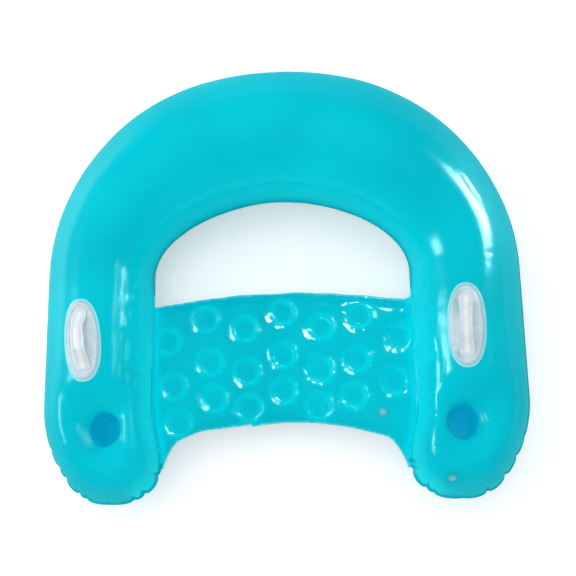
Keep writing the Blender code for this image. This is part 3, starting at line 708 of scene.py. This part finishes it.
def mat_outline():
    """The mat's edge: its right half from the rear middle round to the front middle, then the left one."""
    count = MAT_EDGE_STEPS

    def curve_row(end_x, curve, picks):
        return [Vector((end_x * step / count, curve(end_x * step / count))) for step in picks]

    rear_y, flare_y = mat_rear(SEAM_X), CUP_Y - MAT_FLARE
    side = []
    for step in range(count + 1):
        y = rear_y + (flare_y - rear_y) * step / count
        side.append(Vector((seam_x(y) - GAP, y)))
    end = side[-1] - Vector((MAT_FLARE_END, 0.0))
    corner_x = SEAM_X - MAT_CORNER
    corner = Vector((corner_x, mat_front(corner_x)))
    bend = ((end + corner) / 2).lerp(Vector((end.x, corner.y)), MAT_FLARE_BEND_SHARE)
    half = curve_row(SEAM_X, mat_rear, range(count)) + side
    for share in even_shares(MAT_FLARE_STEPS):
        half.append(end.lerp(bend, share).lerp(bend.lerp(corner, share), share))
    half += curve_row(corner_x, mat_front, range(count - 1, -1, -1))
    return half + [Vector((-point.x, point.y)) for point in reversed(half[1:-1])]


def edge_distance(outline, spots):
    """How far each point lies inside the outline, negative outside."""
    first = np.array([tuple(point) for point in outline])
    run = np.roll(first, -1, axis=0) - first
    spots = np.asarray(spots, float)
    gaps = spots[:, None, :] - first
    share = np.clip((gaps * run).sum(axis=2) / (run ** 2).sum(axis=1), 0.0, 1.0)
    reach = np.sqrt(((gaps - share[:, :, None] * run) ** 2).sum(axis=2)).min(axis=1)
    x, y = spots[:, :1], spots[:, 1:]
    across = (first[:, 1] > y) != ((first + run)[:, 1] > y)
    with np.errstate(divide="ignore", invalid="ignore"):
        crossing = first[:, 0] + run[:, 0] * (y - first[:, 1]) / run[:, 1]
    hits = (across & (x < crossing)).sum(axis=1)
    return np.where(hits % 2 == 1, reach, -reach)


def seat_valve_plan():
    x = SEAM_X - SEAT_VALVE_INSET
    return Vector((x, mat_front(x) + SEAT_VALVE_BACK))


def coin_centres(outline):
    """Middles of the tufts that have room on the mat."""
    half = COIN_COLUMNS // 2
    centres = []
    for column in range(-half, half + 1):
        for row, row_share in enumerate(COIN_ROW_SHARES):
            x = column * COIN_SPREAD_SHARE * SEAM_X * (1 - COIN_NARROW_SHARE * row)
            share = row_share + COIN_STAGGER_SHARE * (column % 2)
            spot = Vector((x, mat_rear(x) * (1 - share) + mat_front(x) * share))
            room = edge_distance(outline, [spot])[0] > COIN_RADIUS + SEAM_WIDTH
            if room and (spot - seat_valve_plan()).length > COIN_RADIUS + VALVE_FLANGE_RADIUS:
                centres.append(spot)
    return centres


def mat_middle(plan):
    level = seam_level(ARM_RADIUS) - 2 * SKIN - GAP
    return level - MAT_SAG * max(1 - (plan.x / seam_x(plan.y)) ** 2, 0.0)


def mat_points(outline, coins):
    """Plan points of the mat: its outline, rings round the tufts and the valve, and a staggered grid."""
    centres = coins + [seat_valve_plan()]
    spots, owners = [], []
    for owner, centre in enumerate(centres):
        for radius in COIN_RINGS if owner < len(coins) else VALVE_RINGS:
            for turn in full_turn(56 if radius > 0.02 else 36):
                spots.append((centre.x + radius * cos(turn), centre.y + radius * sin(turn)))
                owners.append(owner)
    columns = int(MAT_GRID_HALF_WIDTH / MAT_GRID)
    for row in range(int(MAT_GRID_LENGTH / MAT_GRID)):
        for column in range(-columns, columns + 1):
            spots.append(((column + 0.5 * (row % 2)) * MAT_GRID, MAT_REAR_Y - row * MAT_GRID))
            owners.append(-1)
    spots, owners = np.array(spots), np.array(owners)
    middles = np.array([tuple(centre) for centre in centres])
    reach = np.sqrt(((spots[:, None, :] - middles[None]) ** 2).sum(axis=2))
    inner, outer = np.array([COIN_CLEAR] * len(coins) + [VALVE_CLEAR]).T
    blocked = ((reach > inner) & (reach < outer)).any(axis=1)
    kept = np.where(owners < 0, ~blocked, reach.argmin(axis=1) == owners)
    kept &= edge_distance(outline, spots) > MAT_GRID_INSET
    return [tuple(point) for point in outline] + [tuple(spot) for spot in spots[kept]]


def mat_swelling(plan, depth, coin, side):
    """Half of the mat's blown-up thickness, with the weld rings and puckers of the nearest tuft."""
    edge = puff((depth - SEAM_WIDTH) / MAT_EDGE_FALL)
    reach = (plan - coin).length
    beyond = reach - COIN_RADIUS
    turn = atan2(plan.y - coin.y, plan.x - coin.x)
    seed = coin.x * 31 + coin.y * 17
    slope = COIN_FALL * (1.15 + 0.40 * round_wave(turn, 1.3, seed))
    height = 1.06 * MAT_CREST * edge * puff(beyond / slope)
    height += 0.0018 * round_wave(turn, 4.2, seed + 9) * edge * bell(beyond - 0.008, 0.007)
    # Weld ring inside the tuft's edge, and two faint folds round it
    height += 0.0008 * bell(beyond + 0.0030, 0.0010) + 0.0004 * bell(reach - 0.0288, 0.0010)
    height += 0.0005 * edge * bell(beyond - 0.0090, 0.0012)
    height += 0.0016 * edge * puff(beyond / COIN_FALL) * plan_wave(plan, 30, 1.0 + side)
    # Gathers beside the rim's weld, and a ridge along it
    height += 0.0020 * bell(depth - SEAM_WIDTH - 0.007, 0.008) * plan_wave(plan, 75, 6.0)
    height += 0.0005 * bell(depth - SEAM_WIDTH * 0.7, 0.0014)
    return max(height, 0.0)


def mat_height(plan, depth, coin, side):
    """Height of a sheet of the mat, lifted at the tufts and waving along the free edges."""
    lifted = 1 - puff(((plan - coin).length - COIN_RADIUS) / COIN_FALL)
    height = mat_middle(plan) + side * (SKIN + mat_swelling(plan, depth, coin, side))
    height += 0.0050 * lifted * rise(depth, SEAM_WIDTH, 0.02)
    height += 0.0022 * plan_wave(plan, 24, 4.0) * smooth(depth / 0.02)
    return height - 0.0040 * bell(depth, 0.014) * plan_wave(plan, 22, 2.0) * free_edge(plan)


def mat_masks(plan, depth, coin, side):
    """Levels of the weld mask and of the painted light that brightens the shaded walls round the tufts and the
    groove beside the arms.
    """
    beyond = (plan - coin).length - COIN_RADIUS
    # The cut edge gets weld level 2, where the mat's film paints a highlight along it.
    weld = max(2 * (1 - smooth(depth / 0.0030)), 1 - rise(depth, SEAM_WIDTH, 0.002))
    weld = max(weld, 0.5 * bell(beyond + 0.0010, 0.0012))
    if side == LOWER:
        return weld, 0.0
    # Painted light: brighter colour round the tufts' walls and beside the arms, where the mat lies in shade.
    return weld, max(0.5 * bell(beyond - 0.005, 0.007), smooth(1 - (seam_x(plan.y) - abs(plan.x)) / 0.03))


def make_mat_film(finish):
    """The mat as one closed piece: both sheets, joined round the edge."""
    outline = mat_outline()
    rim = len(outline)
    coins = coin_centres(outline)
    plans = [Vector(point) for point in mat_points(outline, coins)]
    loops = [(index, (index + 1) % rim) for index in range(rim)]
    found = delaunay_2d_cdt(plans, loops, [], 1, 0.00001)
    plans, faces = found[0], found[2]
    depths = edge_distance(outline, [tuple(plan) for plan in plans])
    skin = Skin()
    rims = []
    for side in (UPPER, LOWER):
        indices = []
        for plan, depth in zip(plans, depths):
            depth = max(depth, 0.0)
            coin = min(coins, key=lambda centre: (plan - centre).length)
            moved = Vector(plan)
            if depth < MAT_EDGE_EASE:
                moved.y += edge_shape(plan) * (1 - smooth(depth / MAT_EDGE_EASE))
            point = (moved.x, moved.y, mat_height(plan, depth, coin, side))
            if side == UPPER:
                point = valve_seat(point, SEAT_VALVE)[0]
            indices.append(skin.add(point, 0.0, *mat_masks(plan, depth, coin, side)))
        skin.faces += [tuple(indices[index] for index in face) for face in faces]
        rims.append(indices[:rim])
    skin.loft(rims, closed=True)
    film = skin.build("seat_mat_film", finish, merge=0.000005)
    cut_hole(film, SEAT_VALVE)
    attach(film, "chair")
    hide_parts("seat_upper_sheet", "seat_lower_sheet")


def free_edge(plan):
    """1 on the mat's rear and front edge, 0 where an arm holds it."""
    return 1 - rise(abs(plan.x) - SEAM_X, -0.075, 0.05)


def edge_shape(plan):
    """How far the mat's free edges stray from their plain curve."""
    if plan.y > (MAT_REAR_Y + MAT_FRONT_Y) / 2:
        reach, climb = REAR_CORNERS["right" if plan.x > 0 else "left"]
        share = min(max(abs(plan.x) - (SEAM_X - reach), 0.0) / reach, 1.0)
        return 0.0024 * wave(plan.x * 16, 5.0, 0.0) + climb * (1 - sqrt(1 - share ** 2))
    tooth = plan.x + 0.073
    step = -0.0050 * rise(tooth, -0.004, 0.006) * exp(-max(tooth, 0.0) / 0.045)
    lean = 0.007 * bell(plan.x + 0.19, 0.05) - 0.007 * rise(plan.x, 0.225, 0.03)
    return step + lean + 0.0020 * wave(plan.x * 18, 9.0, 0.0)


# Cup wells

def make_sleeve(name, finish):
    """Film wall of a cup well, with the slack folds of a drawn-in tube and the lip that carries the floor."""
    arm = ARMS[name]
    low = CUP_RISE - SLEEVE_PROUD
    high = cup_rim(UPPER) + SLEEVE_PROUD
    radius = CUP_HOLE - GAP
    levels = even_shares(26)
    skin = Skin()

    def ring(reach, height, folds):
        row = []
        raised = rise(height, low, high - low)
        for turn in full_turn(144):
            far = reach - folds * (0.5 + 0.5 * round_wave(turn, 2.6, height * 16 + arm))
            spot = far * Vector((cos(turn), sin(turn)))
            spot = spot.lerp(squeeze(turn, far), raised)
            row.append(skin.add((arm * (CUP_CENTRE.x + spot.x), CUP_CENTRE.y + spot.y, height)))
        return row

    def wall(share, inset):
        waist = sin(pi * share)
        height = max(low + (high - low) * share, low + inset)
        return ring(radius - inset - SLEEVE_PINCH * waist, height, 0.0016 * waist)

    rows = [wall(share, 0.0) for share in levels]
    for part in (0.15, 0.5, 0.85):
        rows.append(ring(radius - SLEEVE_WALL * part, high + 0.0004 * sin(pi * part), 0.0))
    rows += [wall(share, SLEEVE_WALL) for share in reversed(levels)]
    rows += [ring(radius - SLEEVE_WALL - SLEEVE_LIP, height, 0.0) for height in (low + SLEEVE_WALL, low)]
    skin.loft(rows + rows[:1], closed=True)
    sleeve = skin.build("cup_sleeve_film_" + name, finish)
    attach(sleeve, "chair")
    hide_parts("cup_sleeve_" + name)


# Handles

def on_arm(name, across, along, height):
    """Point over an arm's upper sheet: across runs round the tube and height stands off it."""
    lean = HANDLE_TURNS[name]
    round_run = across * cos(lean) - along * sin(lean)
    length_run = across * sin(lean) + along * cos(lean)
    turn = HANDLE_ROLLS[name] + round_run / ARM_RADIUS
    reach = ARM_RADIUS + HANDLE_SEAT + height
    x = ARMS[name] * ARM_X + reach * sin(turn)
    y = ARCH_Y - HANDLE_AHEAD + HANDLE_SHIFTS[name] + length_run
    return (x, y, seam_level(ARM_RADIUS) + SKIN + reach * cos(turn))


def make_patch(name, finish):
    """Oval patch: a thin flange welded on the arm, a rounded lip and a shallow tray."""
    skin = Skin()

    def ring(depth, height, weld):
        row = []
        for turn in full_turn(132):
            across = max(HANDLE_WIDTH / 2 - depth, 0.00012) * round_power(cos(turn), HANDLE_POWER)
            along = (HANDLE_LENGTH / 2 - depth) * round_power(sin(turn), HANDLE_POWER)
            # Painted shadow in the tray beside the strap's ends
            tray_shadow = 0.0
            for shadow, reach in TRAY_SHADOWS[name] if weld == 0.0 else ():
                tray_shadow += bell(across + 0.019, 0.010) * bell(along - shadow, reach)
            row.append(skin.add(on_arm(name, across, along, height), 0.0, weld, tray_shadow))
        return row

    top = PATCH_THICKNESS
    tray = PATCH_FLANGE + LIP_SLOPE + LIP_WIDTH + LIP_SLOPE
    # Depth in from the outline, height and weld mask: underside, cut edge with its bead, and flange
    profile = [(HANDLE_WIDTH / 2, 0.0, 1.0), (0.022, 0.0, 1.0), (0.0004, 0.0, 1.0), (0.0001, 0.0003, 2.0),
               (0.0, top / 2, 2.0), (0.0003, 0.0011, 2.0), (0.0012, top + 0.0002, 2.0),
               (0.0024, top + 0.0003, 2.0), (0.0032, top, 1.0), (0.0055, top - 0.0001, 1.0),
               (PATCH_FLANGE - 0.0018, top, 0.9), (PATCH_FLANGE - 0.0006, top + 0.0002, 0.6)]
    for share in even_shares(14)[1:-1]:
        height = top + (LIP_HEIGHT - top) * sin(pi * share) ** 0.55
        profile.append((PATCH_FLANGE + (tray - PATCH_FLANGE) * share, height, 0.0))
    profile += [(tray + 0.0005, top + 0.0001, 0.1), (tray + TRAY_EASE, top, 0.0)]
    for share in even_shares(7)[1:]:
        profile.append((tray + TRAY_EASE + (HANDLE_WIDTH / 2 - tray - TRAY_EASE) * share, top, 0.0))
    skin.loft_solid([ring(*row) for row in profile])
    patch = skin.build("handle_patch_shell_" + name, finish, merge=0.000001)
    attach(patch, "chair")
    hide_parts("handle_patch_" + name)


def make_grip(name, finish):
    """Arched strap with rounded sides, flared feet and a rib along its top, and a painted highlight along the
    rib.
    """
    skin = Skin()
    first, last = GRIP_CLIMB_SHARES
    sections = []
    for share in even_shares(120):
        along = 2 * share - 1
        away = abs(along)
        climb = fall(away, first, first - last)
        half = (GRIP_WIDTH + (GRIP_FOOT_WIDTH - GRIP_WIDTH) * rise(away, last, first - last)) / 2
        rounded = min(max((away - 0.90) / 0.10, 0.0), 1.0)
        half *= sqrt(max(1 - rounded ** 2, 0.012))
        low = PATCH_THICKNESS + GAP + GRIP_RISE * climb
        rib = GRIP_RIB_HEIGHT * (1 - smooth(away)) + 0.0006 * fall(away, 0.96, 0.1)
        thick = GRIP_THICKNESS * (1 - 0.35 * rounded ** 2)
        section = []
        for turn in full_turn(56):
            across = round_power(cos(turn), 7.0) * half
            level = round_power(sin(turn), 3.0)
            height = low + thick / 2 + level * thick / 2
            # The weld mask carries a painted highlight along the top of the rib.
            bright = 0.0
            if level > 0:
                ridge = bell(across, GRIP_RIB_WIDTH * 0.42)
                height += rib * ridge + 0.0007 * bell(half - abs(across) - 0.0016, 0.0012)
                bright = ridge * fall(away, 0.97, 0.1)
            section.append(skin.add(on_arm(name, across, along * GRIP_LENGTH / 2, height), 0.0, bright))
        sections.append(section)
    skin.loft_solid(sections)
    grip = skin.build("handle_grip_strap_" + name, finish, merge=0.000001)
    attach(grip, "chair")
    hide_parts("handle_grip_" + name)


# Shader maths

class Level:
    """A number that varies over a surface. Adding to it or multiplying it makes a Math node."""

    def __init__(self, finish, socket):
        self.finish = finish
        self.socket = socket

    def joined(self, operation, other):
        node = self.finish.node("ShaderNodeMath", {"operation": operation}, (self, other))
        return Level(self.finish, node.outputs[0])

    def __add__(self, other):
        return self.joined("ADD", other)

    def __mul__(self, other):
        return self.joined("MULTIPLY", other)

    __radd__ = __add__
    __rmul__ = __mul__


class Finish:
    """A material under construction, on its own Principled shader."""

    def __init__(self, name, **settings):
        self.material = bpy.data.materials.new(name)
        self.material.use_nodes = True
        self.tree = self.material.node_tree
        self.shader = self.tree.nodes["Principled BSDF"]
        for socket, value in settings.items():
            self.shader.inputs[socket.replace("_", " ")].default_value = value
        self.place = self.node("ShaderNodeTexCoord", {}, ()).outputs["Object"]

    def node(self, kind, settings, values):
        """A node with its settings made first, then its sockets filled, by order or by name."""
        node = self.tree.nodes.new(kind)
        for setting, value in settings.items():
            setattr(node, setting, value)
        pairs = values.items() if isinstance(values, dict) else enumerate(values)
        for socket, value in pairs:
            value = value.socket if isinstance(value, Level) else value
            if isinstance(value, bpy.types.NodeSocket):
                self.tree.links.new(value, node.inputs[socket])
            else:
                node.inputs[socket].default_value = value
        return node

    def feed(self, socket, value):
        self.tree.links.new(value.socket if isinstance(value, Level) else value, self.shader.inputs[socket])

    def speckle(self, scale, detail=2.0, place=None):
        """Noise from 0 to 1 with this many waves a metre."""
        values = {"Vector": place or self.place, "Scale": scale, "Detail": detail}
        return Level(self, self.node("ShaderNodeTexNoise", {}, values).outputs["Fac"])

    def mask(self, name):
        return Level(self, self.node("ShaderNodeAttribute", {"attribute_name": name}, ()).outputs["Fac"])

    def welded(self, level):
        """The weld mask's rise to 1 above this level."""
        return self.band(self.mask("weld"), level, level + 1.0)

    def height(self):
        """Height over the floor."""
        return Level(self, self.node("ShaderNodeSeparateXYZ", {}, (self.place,)).outputs["Z"])

    def band(self, level, low, high):
        """0 below low and 1 above high."""
        values = {"Value": level, "From Min": low, "From Max": high}
        node = self.node("ShaderNodeMapRange", {"interpolation_type": "SMOOTHSTEP"}, values)
        return Level(self, node.outputs["Result"])

    def stretch(self, scale):
        """The surface's own coordinates, scaled unlike along the axes."""
        return self.node("ShaderNodeVectorMath", {"operation": "MULTIPLY"}, (self.place, scale)).outputs[0]

    def blend(self, share, first, second):
        """Colour between two colours."""
        values = {0: share}
        for socket, value in ((6, first), (7, second)):
            values[socket] = value if isinstance(value, bpy.types.NodeSocket) else (*value, 1.0)
        return self.node("ShaderNodeMix", {"data_type": "RGBA"}, values).outputs[2]

    def bump(self, height, distance, strength):
        node = self.node("ShaderNodeBump", {}, {"Strength": strength, "Distance": distance, "Height": height})
        self.feed("Normal", node.outputs["Normal"])


# Speckles a metre of the film's grain and of its uneven gloss
GRAIN = 850.0
SMEAR = 150.0

# Tint of the painted light in the film's shaded places, and tints of a moulding's painted shadows and of its
# cut edges
PAINTED_LIGHT_TINT = (0.0, 0.90, 1.0)
SHADOW_TINT = (0.36, 0.52, 0.56)
CUT_TINT = (0.34, 0.90, 0.97)


def film_finish(name, body, bright, weld, rim, through, gloss):
    """Glossy tinted vinyl: slow tint changes, painted light in shaded places, tinted welds and cut edges, a
    fine grain.
    """
    finish = Finish(name, IOR=1.5, Specular_IOR_Level=0.12, Subsurface_Weight=through, Subsurface_Scale=0.05)
    finish.shader.inputs["Subsurface Radius"].default_value = (0.3, 1.0, 1.0)
    finish.shader.inputs["Specular Tint"].default_value = (0.6, 1.0, 1.0, 1.0)
    cloud = finish.speckle(4.5, 1.0)
    fine = finish.speckle(34.0, 3.0)
    tint = finish.blend(finish.band(cloud + 0.12 * fine, 0.42, 0.72), body, bright)
    # Painted light: shaded places are brightened towards a pale tint.
    lit = finish.blend(finish.mask("painted_shading") * 0.9, tint, PAINTED_LIGHT_TINT)
    welded = finish.blend(finish.welded(0.0) * 0.85, lit, weld)
    finish.feed("Base Color", finish.blend(finish.welded(1.0), welded, rim))
    slant = Level(finish, finish.node("ShaderNodeLayerWeight", {}, {"Blend": 0.5}).outputs["Facing"])
    matt = 0.06 * finish.speckle(SMEAR) + 0.08 * finish.welded(0.0)
    finish.feed("Roughness", matt + 0.5 * finish.band(slant, 0.18, 0.50) + gloss)
    ribs = finish.speckle(1.0, place=finish.stretch((40.0, 170.0, 90.0)))
    finish.bump(finish.speckle(GRAIN) * 0.15 + finish.speckle(75.0) + ribs, distance=0.0003, strength=0.4)
    return finish.material


def well_finish(name, top, foot):
    """Film of the cup wells, with painted light for the light coming through from all round: brighter colour
    and a painted glow towards the foot.
    """
    finish = Finish(name, IOR=1.5, Specular_IOR_Level=0.12)
    cloud = finish.speckle(30.0)
    climb = finish.band(finish.height() + 0.02 * cloud, CUP_RISE + 0.03, cup_rim(UPPER) + 0.015)
    finish.feed("Base Color", finish.blend(climb, foot, top))
    # Painted glow: the wells and the cup floors emit a faint cyan light, stronger towards the foot.
    finish.shader.inputs["Emission Strength"].default_value = 1.0
    finish.feed("Emission Color", finish.blend(climb, (0.0, 0.055, 0.065), (0.0, 0.03, 0.04)))
    finish.feed("Roughness", 0.16 + 0.10 * finish.speckle(SMEAR))
    finish.bump(finish.speckle(GRAIN) * 0.2 + finish.speckle(60.0), distance=0.0004, strength=0.6)
    return finish.material


def moulded_finish(name, body, shade, tinted, roughness):
    """Soft clear plastic: cloudy body with painted shadows, tinted by the film under its thin parts, with flow
    marks. On the grip that tint is a painted highlight along the rib.
    """
    finish = Finish(name, IOR=1.46, Specular_IOR_Level=0.22)
    tint = finish.blend(finish.band(finish.speckle(60.0, 3.0), 0.35, 0.70), body, shade)
    # Painted shadow where the shading mask is set
    shaded = finish.blend(finish.mask("painted_shading") * 0.8, tint, SHADOW_TINT)
    # Weld mask: film tint on a patch's flange, painted highlight on the grip's rib
    flange = finish.blend(finish.welded(0.0), shaded, tinted)
    finish.feed("Base Color", finish.blend(finish.welded(1.0), flange, CUT_TINT))
    finish.feed("Roughness", roughness + 0.10 * finish.speckle(300.0))
    flow = finish.speckle(1.0, place=finish.stretch((420.0, 60.0, 420.0)))
    finish.bump(flow + 0.4 * finish.speckle(700.0, 1.0), distance=0.0002, strength=0.5)
    return finish.material


def dress_node(name, material, rounding):
    """Give a solid that stays its material and softly rounded edges."""
    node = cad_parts[name]
    node.data.materials.clear()
    node.data.materials.append(material)
    soften = node.modifiers.new("rounding", "BEVEL")
    soften.width = rounding
    soften.segments = 3
    soften.limit_method = "ANGLE"
    soften.angle_limit = radians(40)


# Set and camera

FLOOR_DROP = 0.0004
FLOOR_GLOW = (0.42, 0.42, 0.42)

# Lamps: name, place, target, size, radiance and beam in degrees. Fills light the
# surfaces, and shines are only seen mirrored in them.
FILLS = (
    ("overhead_fill", (-0.6, 0.3, 3.0), (0.0, 0.0, 0.0), (3.4, 3.4), 1.38),
    ("left_fill", (-3.0, 0.0, 1.3), (0.0, 0.0, 0.1), (3.4, 2.2), 1.0),
    ("right_fill", (3.0, 0.0, 1.3), (0.0, 0.0, 0.1), (3.4, 2.2), 0.8),
    ("near_fill", (0.0, -3.0, 1.3), (0.0, 0.0, 0.1), (3.4, 2.2), 0.8),
    ("far_fill", (0.0, 3.0, 1.3), (0.0, 0.0, 0.1), (3.4, 2.2), 0.8),
)
SHINES = (
    ("right_panel", (1.175, 0.44, 0.88), (0.42, 0.13, 0.24), (0.30, 0.44), 200.0, 33),
    ("left_arm_glow", (1.75, 0.40, 2.35), (-0.34, -0.10, 0.21), (0.80, 0.28), 18.0, 26),
    ("right_arm_glow", (-0.53, -0.07, 0.74), (0.33, -0.05, 0.22), (0.45, 0.45), 38.0, 44),
    ("seat_glint", (0.27, 0.22, 0.56), (0.0, -0.17, 0.13), (0.30, 0.20), 240.0, 60),
    ("left_low_strip", (-1.40, 0.50, 0.14), (-0.3, 0.1, 0.2), (1.30, 0.26), 9.0),
    ("left_panel", (-1.95, -0.10, 1.60), (0.2, -0.1, 0.2), (1.0, 0.6), 20.0),
)


def make_floor():
    mesh = bmesh.new()
    bmesh.ops.create_grid(mesh, x_segments=1, y_segments=1, size=9.0)
    data = bpy.data.meshes.new("studio_floor")
    mesh.to_mesh(data)
    mesh.free()
    floor = add_object("studio_floor", data)
    floor.location.z = -FLOOR_DROP
    finish = Finish("floor_paper", Roughness=0.9, Specular_IOR_Level=0.1, Emission_Strength=1.0)
    finish.shader.inputs["Base Color"].default_value = (0.87, 0.87, 0.87, 1.0)
    rays = finish.node("ShaderNodeLightPath", {}, ()).outputs
    glows = Level(finish, rays["Is Camera Ray"]) + rays["Is Glossy Ray"] + rays["Is Transmission Ray"]
    finish.feed("Emission Color", finish.blend(glows, (0.0, 0.0, 0.0), FLOOR_GLOW))
    data.materials.append(finish.material)


def make_lamp(name, place, target, size, radiance, beam=180, diffuse=True, glossy=True):
    """Softbox with this radiance along its axis, aimed at the target."""
    lamp = bpy.data.lights.new(name, "AREA")
    lamp.shape = "RECTANGLE"
    lamp.size, lamp.size_y = size
    lamp.energy = radiance * pi * size[0] * size[1]
    if beam < 180:
        lamp.spread = radians(beam)
        half = radians(beam / 2)
        lamp.energy *= (tan(half) - half) / tan(half)
    item = add_object(name, lamp)
    item.location = place
    item.rotation_euler = (Vector(target) - Vector(place)).to_track_quat("-Z", "Y").to_euler()
    item.visible_camera = False
    item.visible_diffuse = diffuse
    item.visible_glossy = glossy


def make_world(strength):
    world = bpy.data.worlds.new("studio")
    bpy.context.scene.world = world
    world.use_nodes = True
    background = world.node_tree.nodes["Background"]
    background.inputs["Color"].default_value = (1.0, 1.0, 1.0, 1.0)
    background.inputs["Strength"].default_value = strength


def make_camera():
    """Camera at the photograph's angle, nearly overhead and leaning slightly to the right."""
    target = Vector((0.0, -0.00225, 0.13))
    back = Vector((0.0531, -0.2409, 1.0)).normalized()
    distance = 2.2
    up = (Vector((0.0, 1.0, 0.0)) - back * back.y).normalized()
    right = up.cross(back)
    roll = radians(1.0163)
    side = right * cos(roll) - up * sin(roll)
    top = up * cos(roll) + right * sin(roll)
    camera = bpy.data.cameras.new("camera")
    camera.sensor_width = 36.0
    camera.lens = 59.65
    camera.shift_x = 0.0117
    camera.shift_y = -0.0128
    item = add_object("camera", camera)
    place = Matrix.Translation(target + back * distance)
    item.matrix_world = place @ Matrix((side, top, back)).transposed().to_4x4()
    bpy.context.scene.camera = item


make_camera()
tube_film = film_finish("tube_vinyl_film", body=(0.0, 0.59, 0.72), bright=(0.0, 0.65, 0.78),
                        weld=(0.0, 0.60, 0.73), rim=(0.0, 0.34, 0.44), through=0.25, gloss=0.10)
# The mat's rim colour is a painted highlight along its cut edge.
mat_film = film_finish("seat_vinyl_film", body=(0.0, 0.57, 0.70), bright=(0.0, 0.63, 0.76),
                       weld=(0.0, 0.64, 0.76), rim=(0.35, 0.86, 0.93), through=0.0, gloss=0.04)
well_film = well_finish("cup_vinyl_film", top=(0.0, 0.66, 0.86), foot=(0.0, 0.80, 0.98))
patch_plastic, grip_plastic, valve_plastic, collar_plastic = (moulded_finish(*moulding) for moulding in (
    ("handle_clear_vinyl", (0.72, 0.83, 0.89), (0.62, 0.75, 0.81), (0.34, 0.68, 0.77), 0.2),
    # The grip's third colour is its painted rib highlight.
    ("grip_milky_plastic", (0.76, 0.85, 0.90), (0.66, 0.78, 0.83), (0.95, 0.98, 1.0), 0.24),
    ("valve_milky_plastic", (0.20, 0.66, 0.74), (0.10, 0.56, 0.66), (0.5, 0.74, 0.8), 0.22),
    ("valve_clear_plastic", (0.01, 0.57, 0.69), (0.01, 0.52, 0.64), (0.1, 0.6, 0.7), 0.18)))

make_ring_film(tube_film)
make_mat_film(mat_film)
for arm_name in ARMS:
    make_sleeve(arm_name, well_film)
    make_patch(arm_name, patch_plastic)
    make_grip(arm_name, grip_plastic)
    # The cup floors take the wells' film with its painted glow.
    dress_node("cup_floor_" + arm_name, well_film, 0.0003)
for valve_name in ("tube_valve", "seat_valve"):
    dress_node(valve_name + "_collar", collar_plastic, 0.0003)
    for piece, width in (("_stem", 0.0002), ("_plug", 0.0003), ("_flap", 0.0001)):
        dress_node(valve_name + piece, valve_plastic, width)

make_floor()
make_world(0.28)
for fill in FILLS:
    make_lamp(*fill, glossy=False)
for shine in SHINES:
    make_lamp(*shine, diffuse=False)

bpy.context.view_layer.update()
scene_view = bpy.context.scene.view_settings
scene_view.view_transform = "Standard"
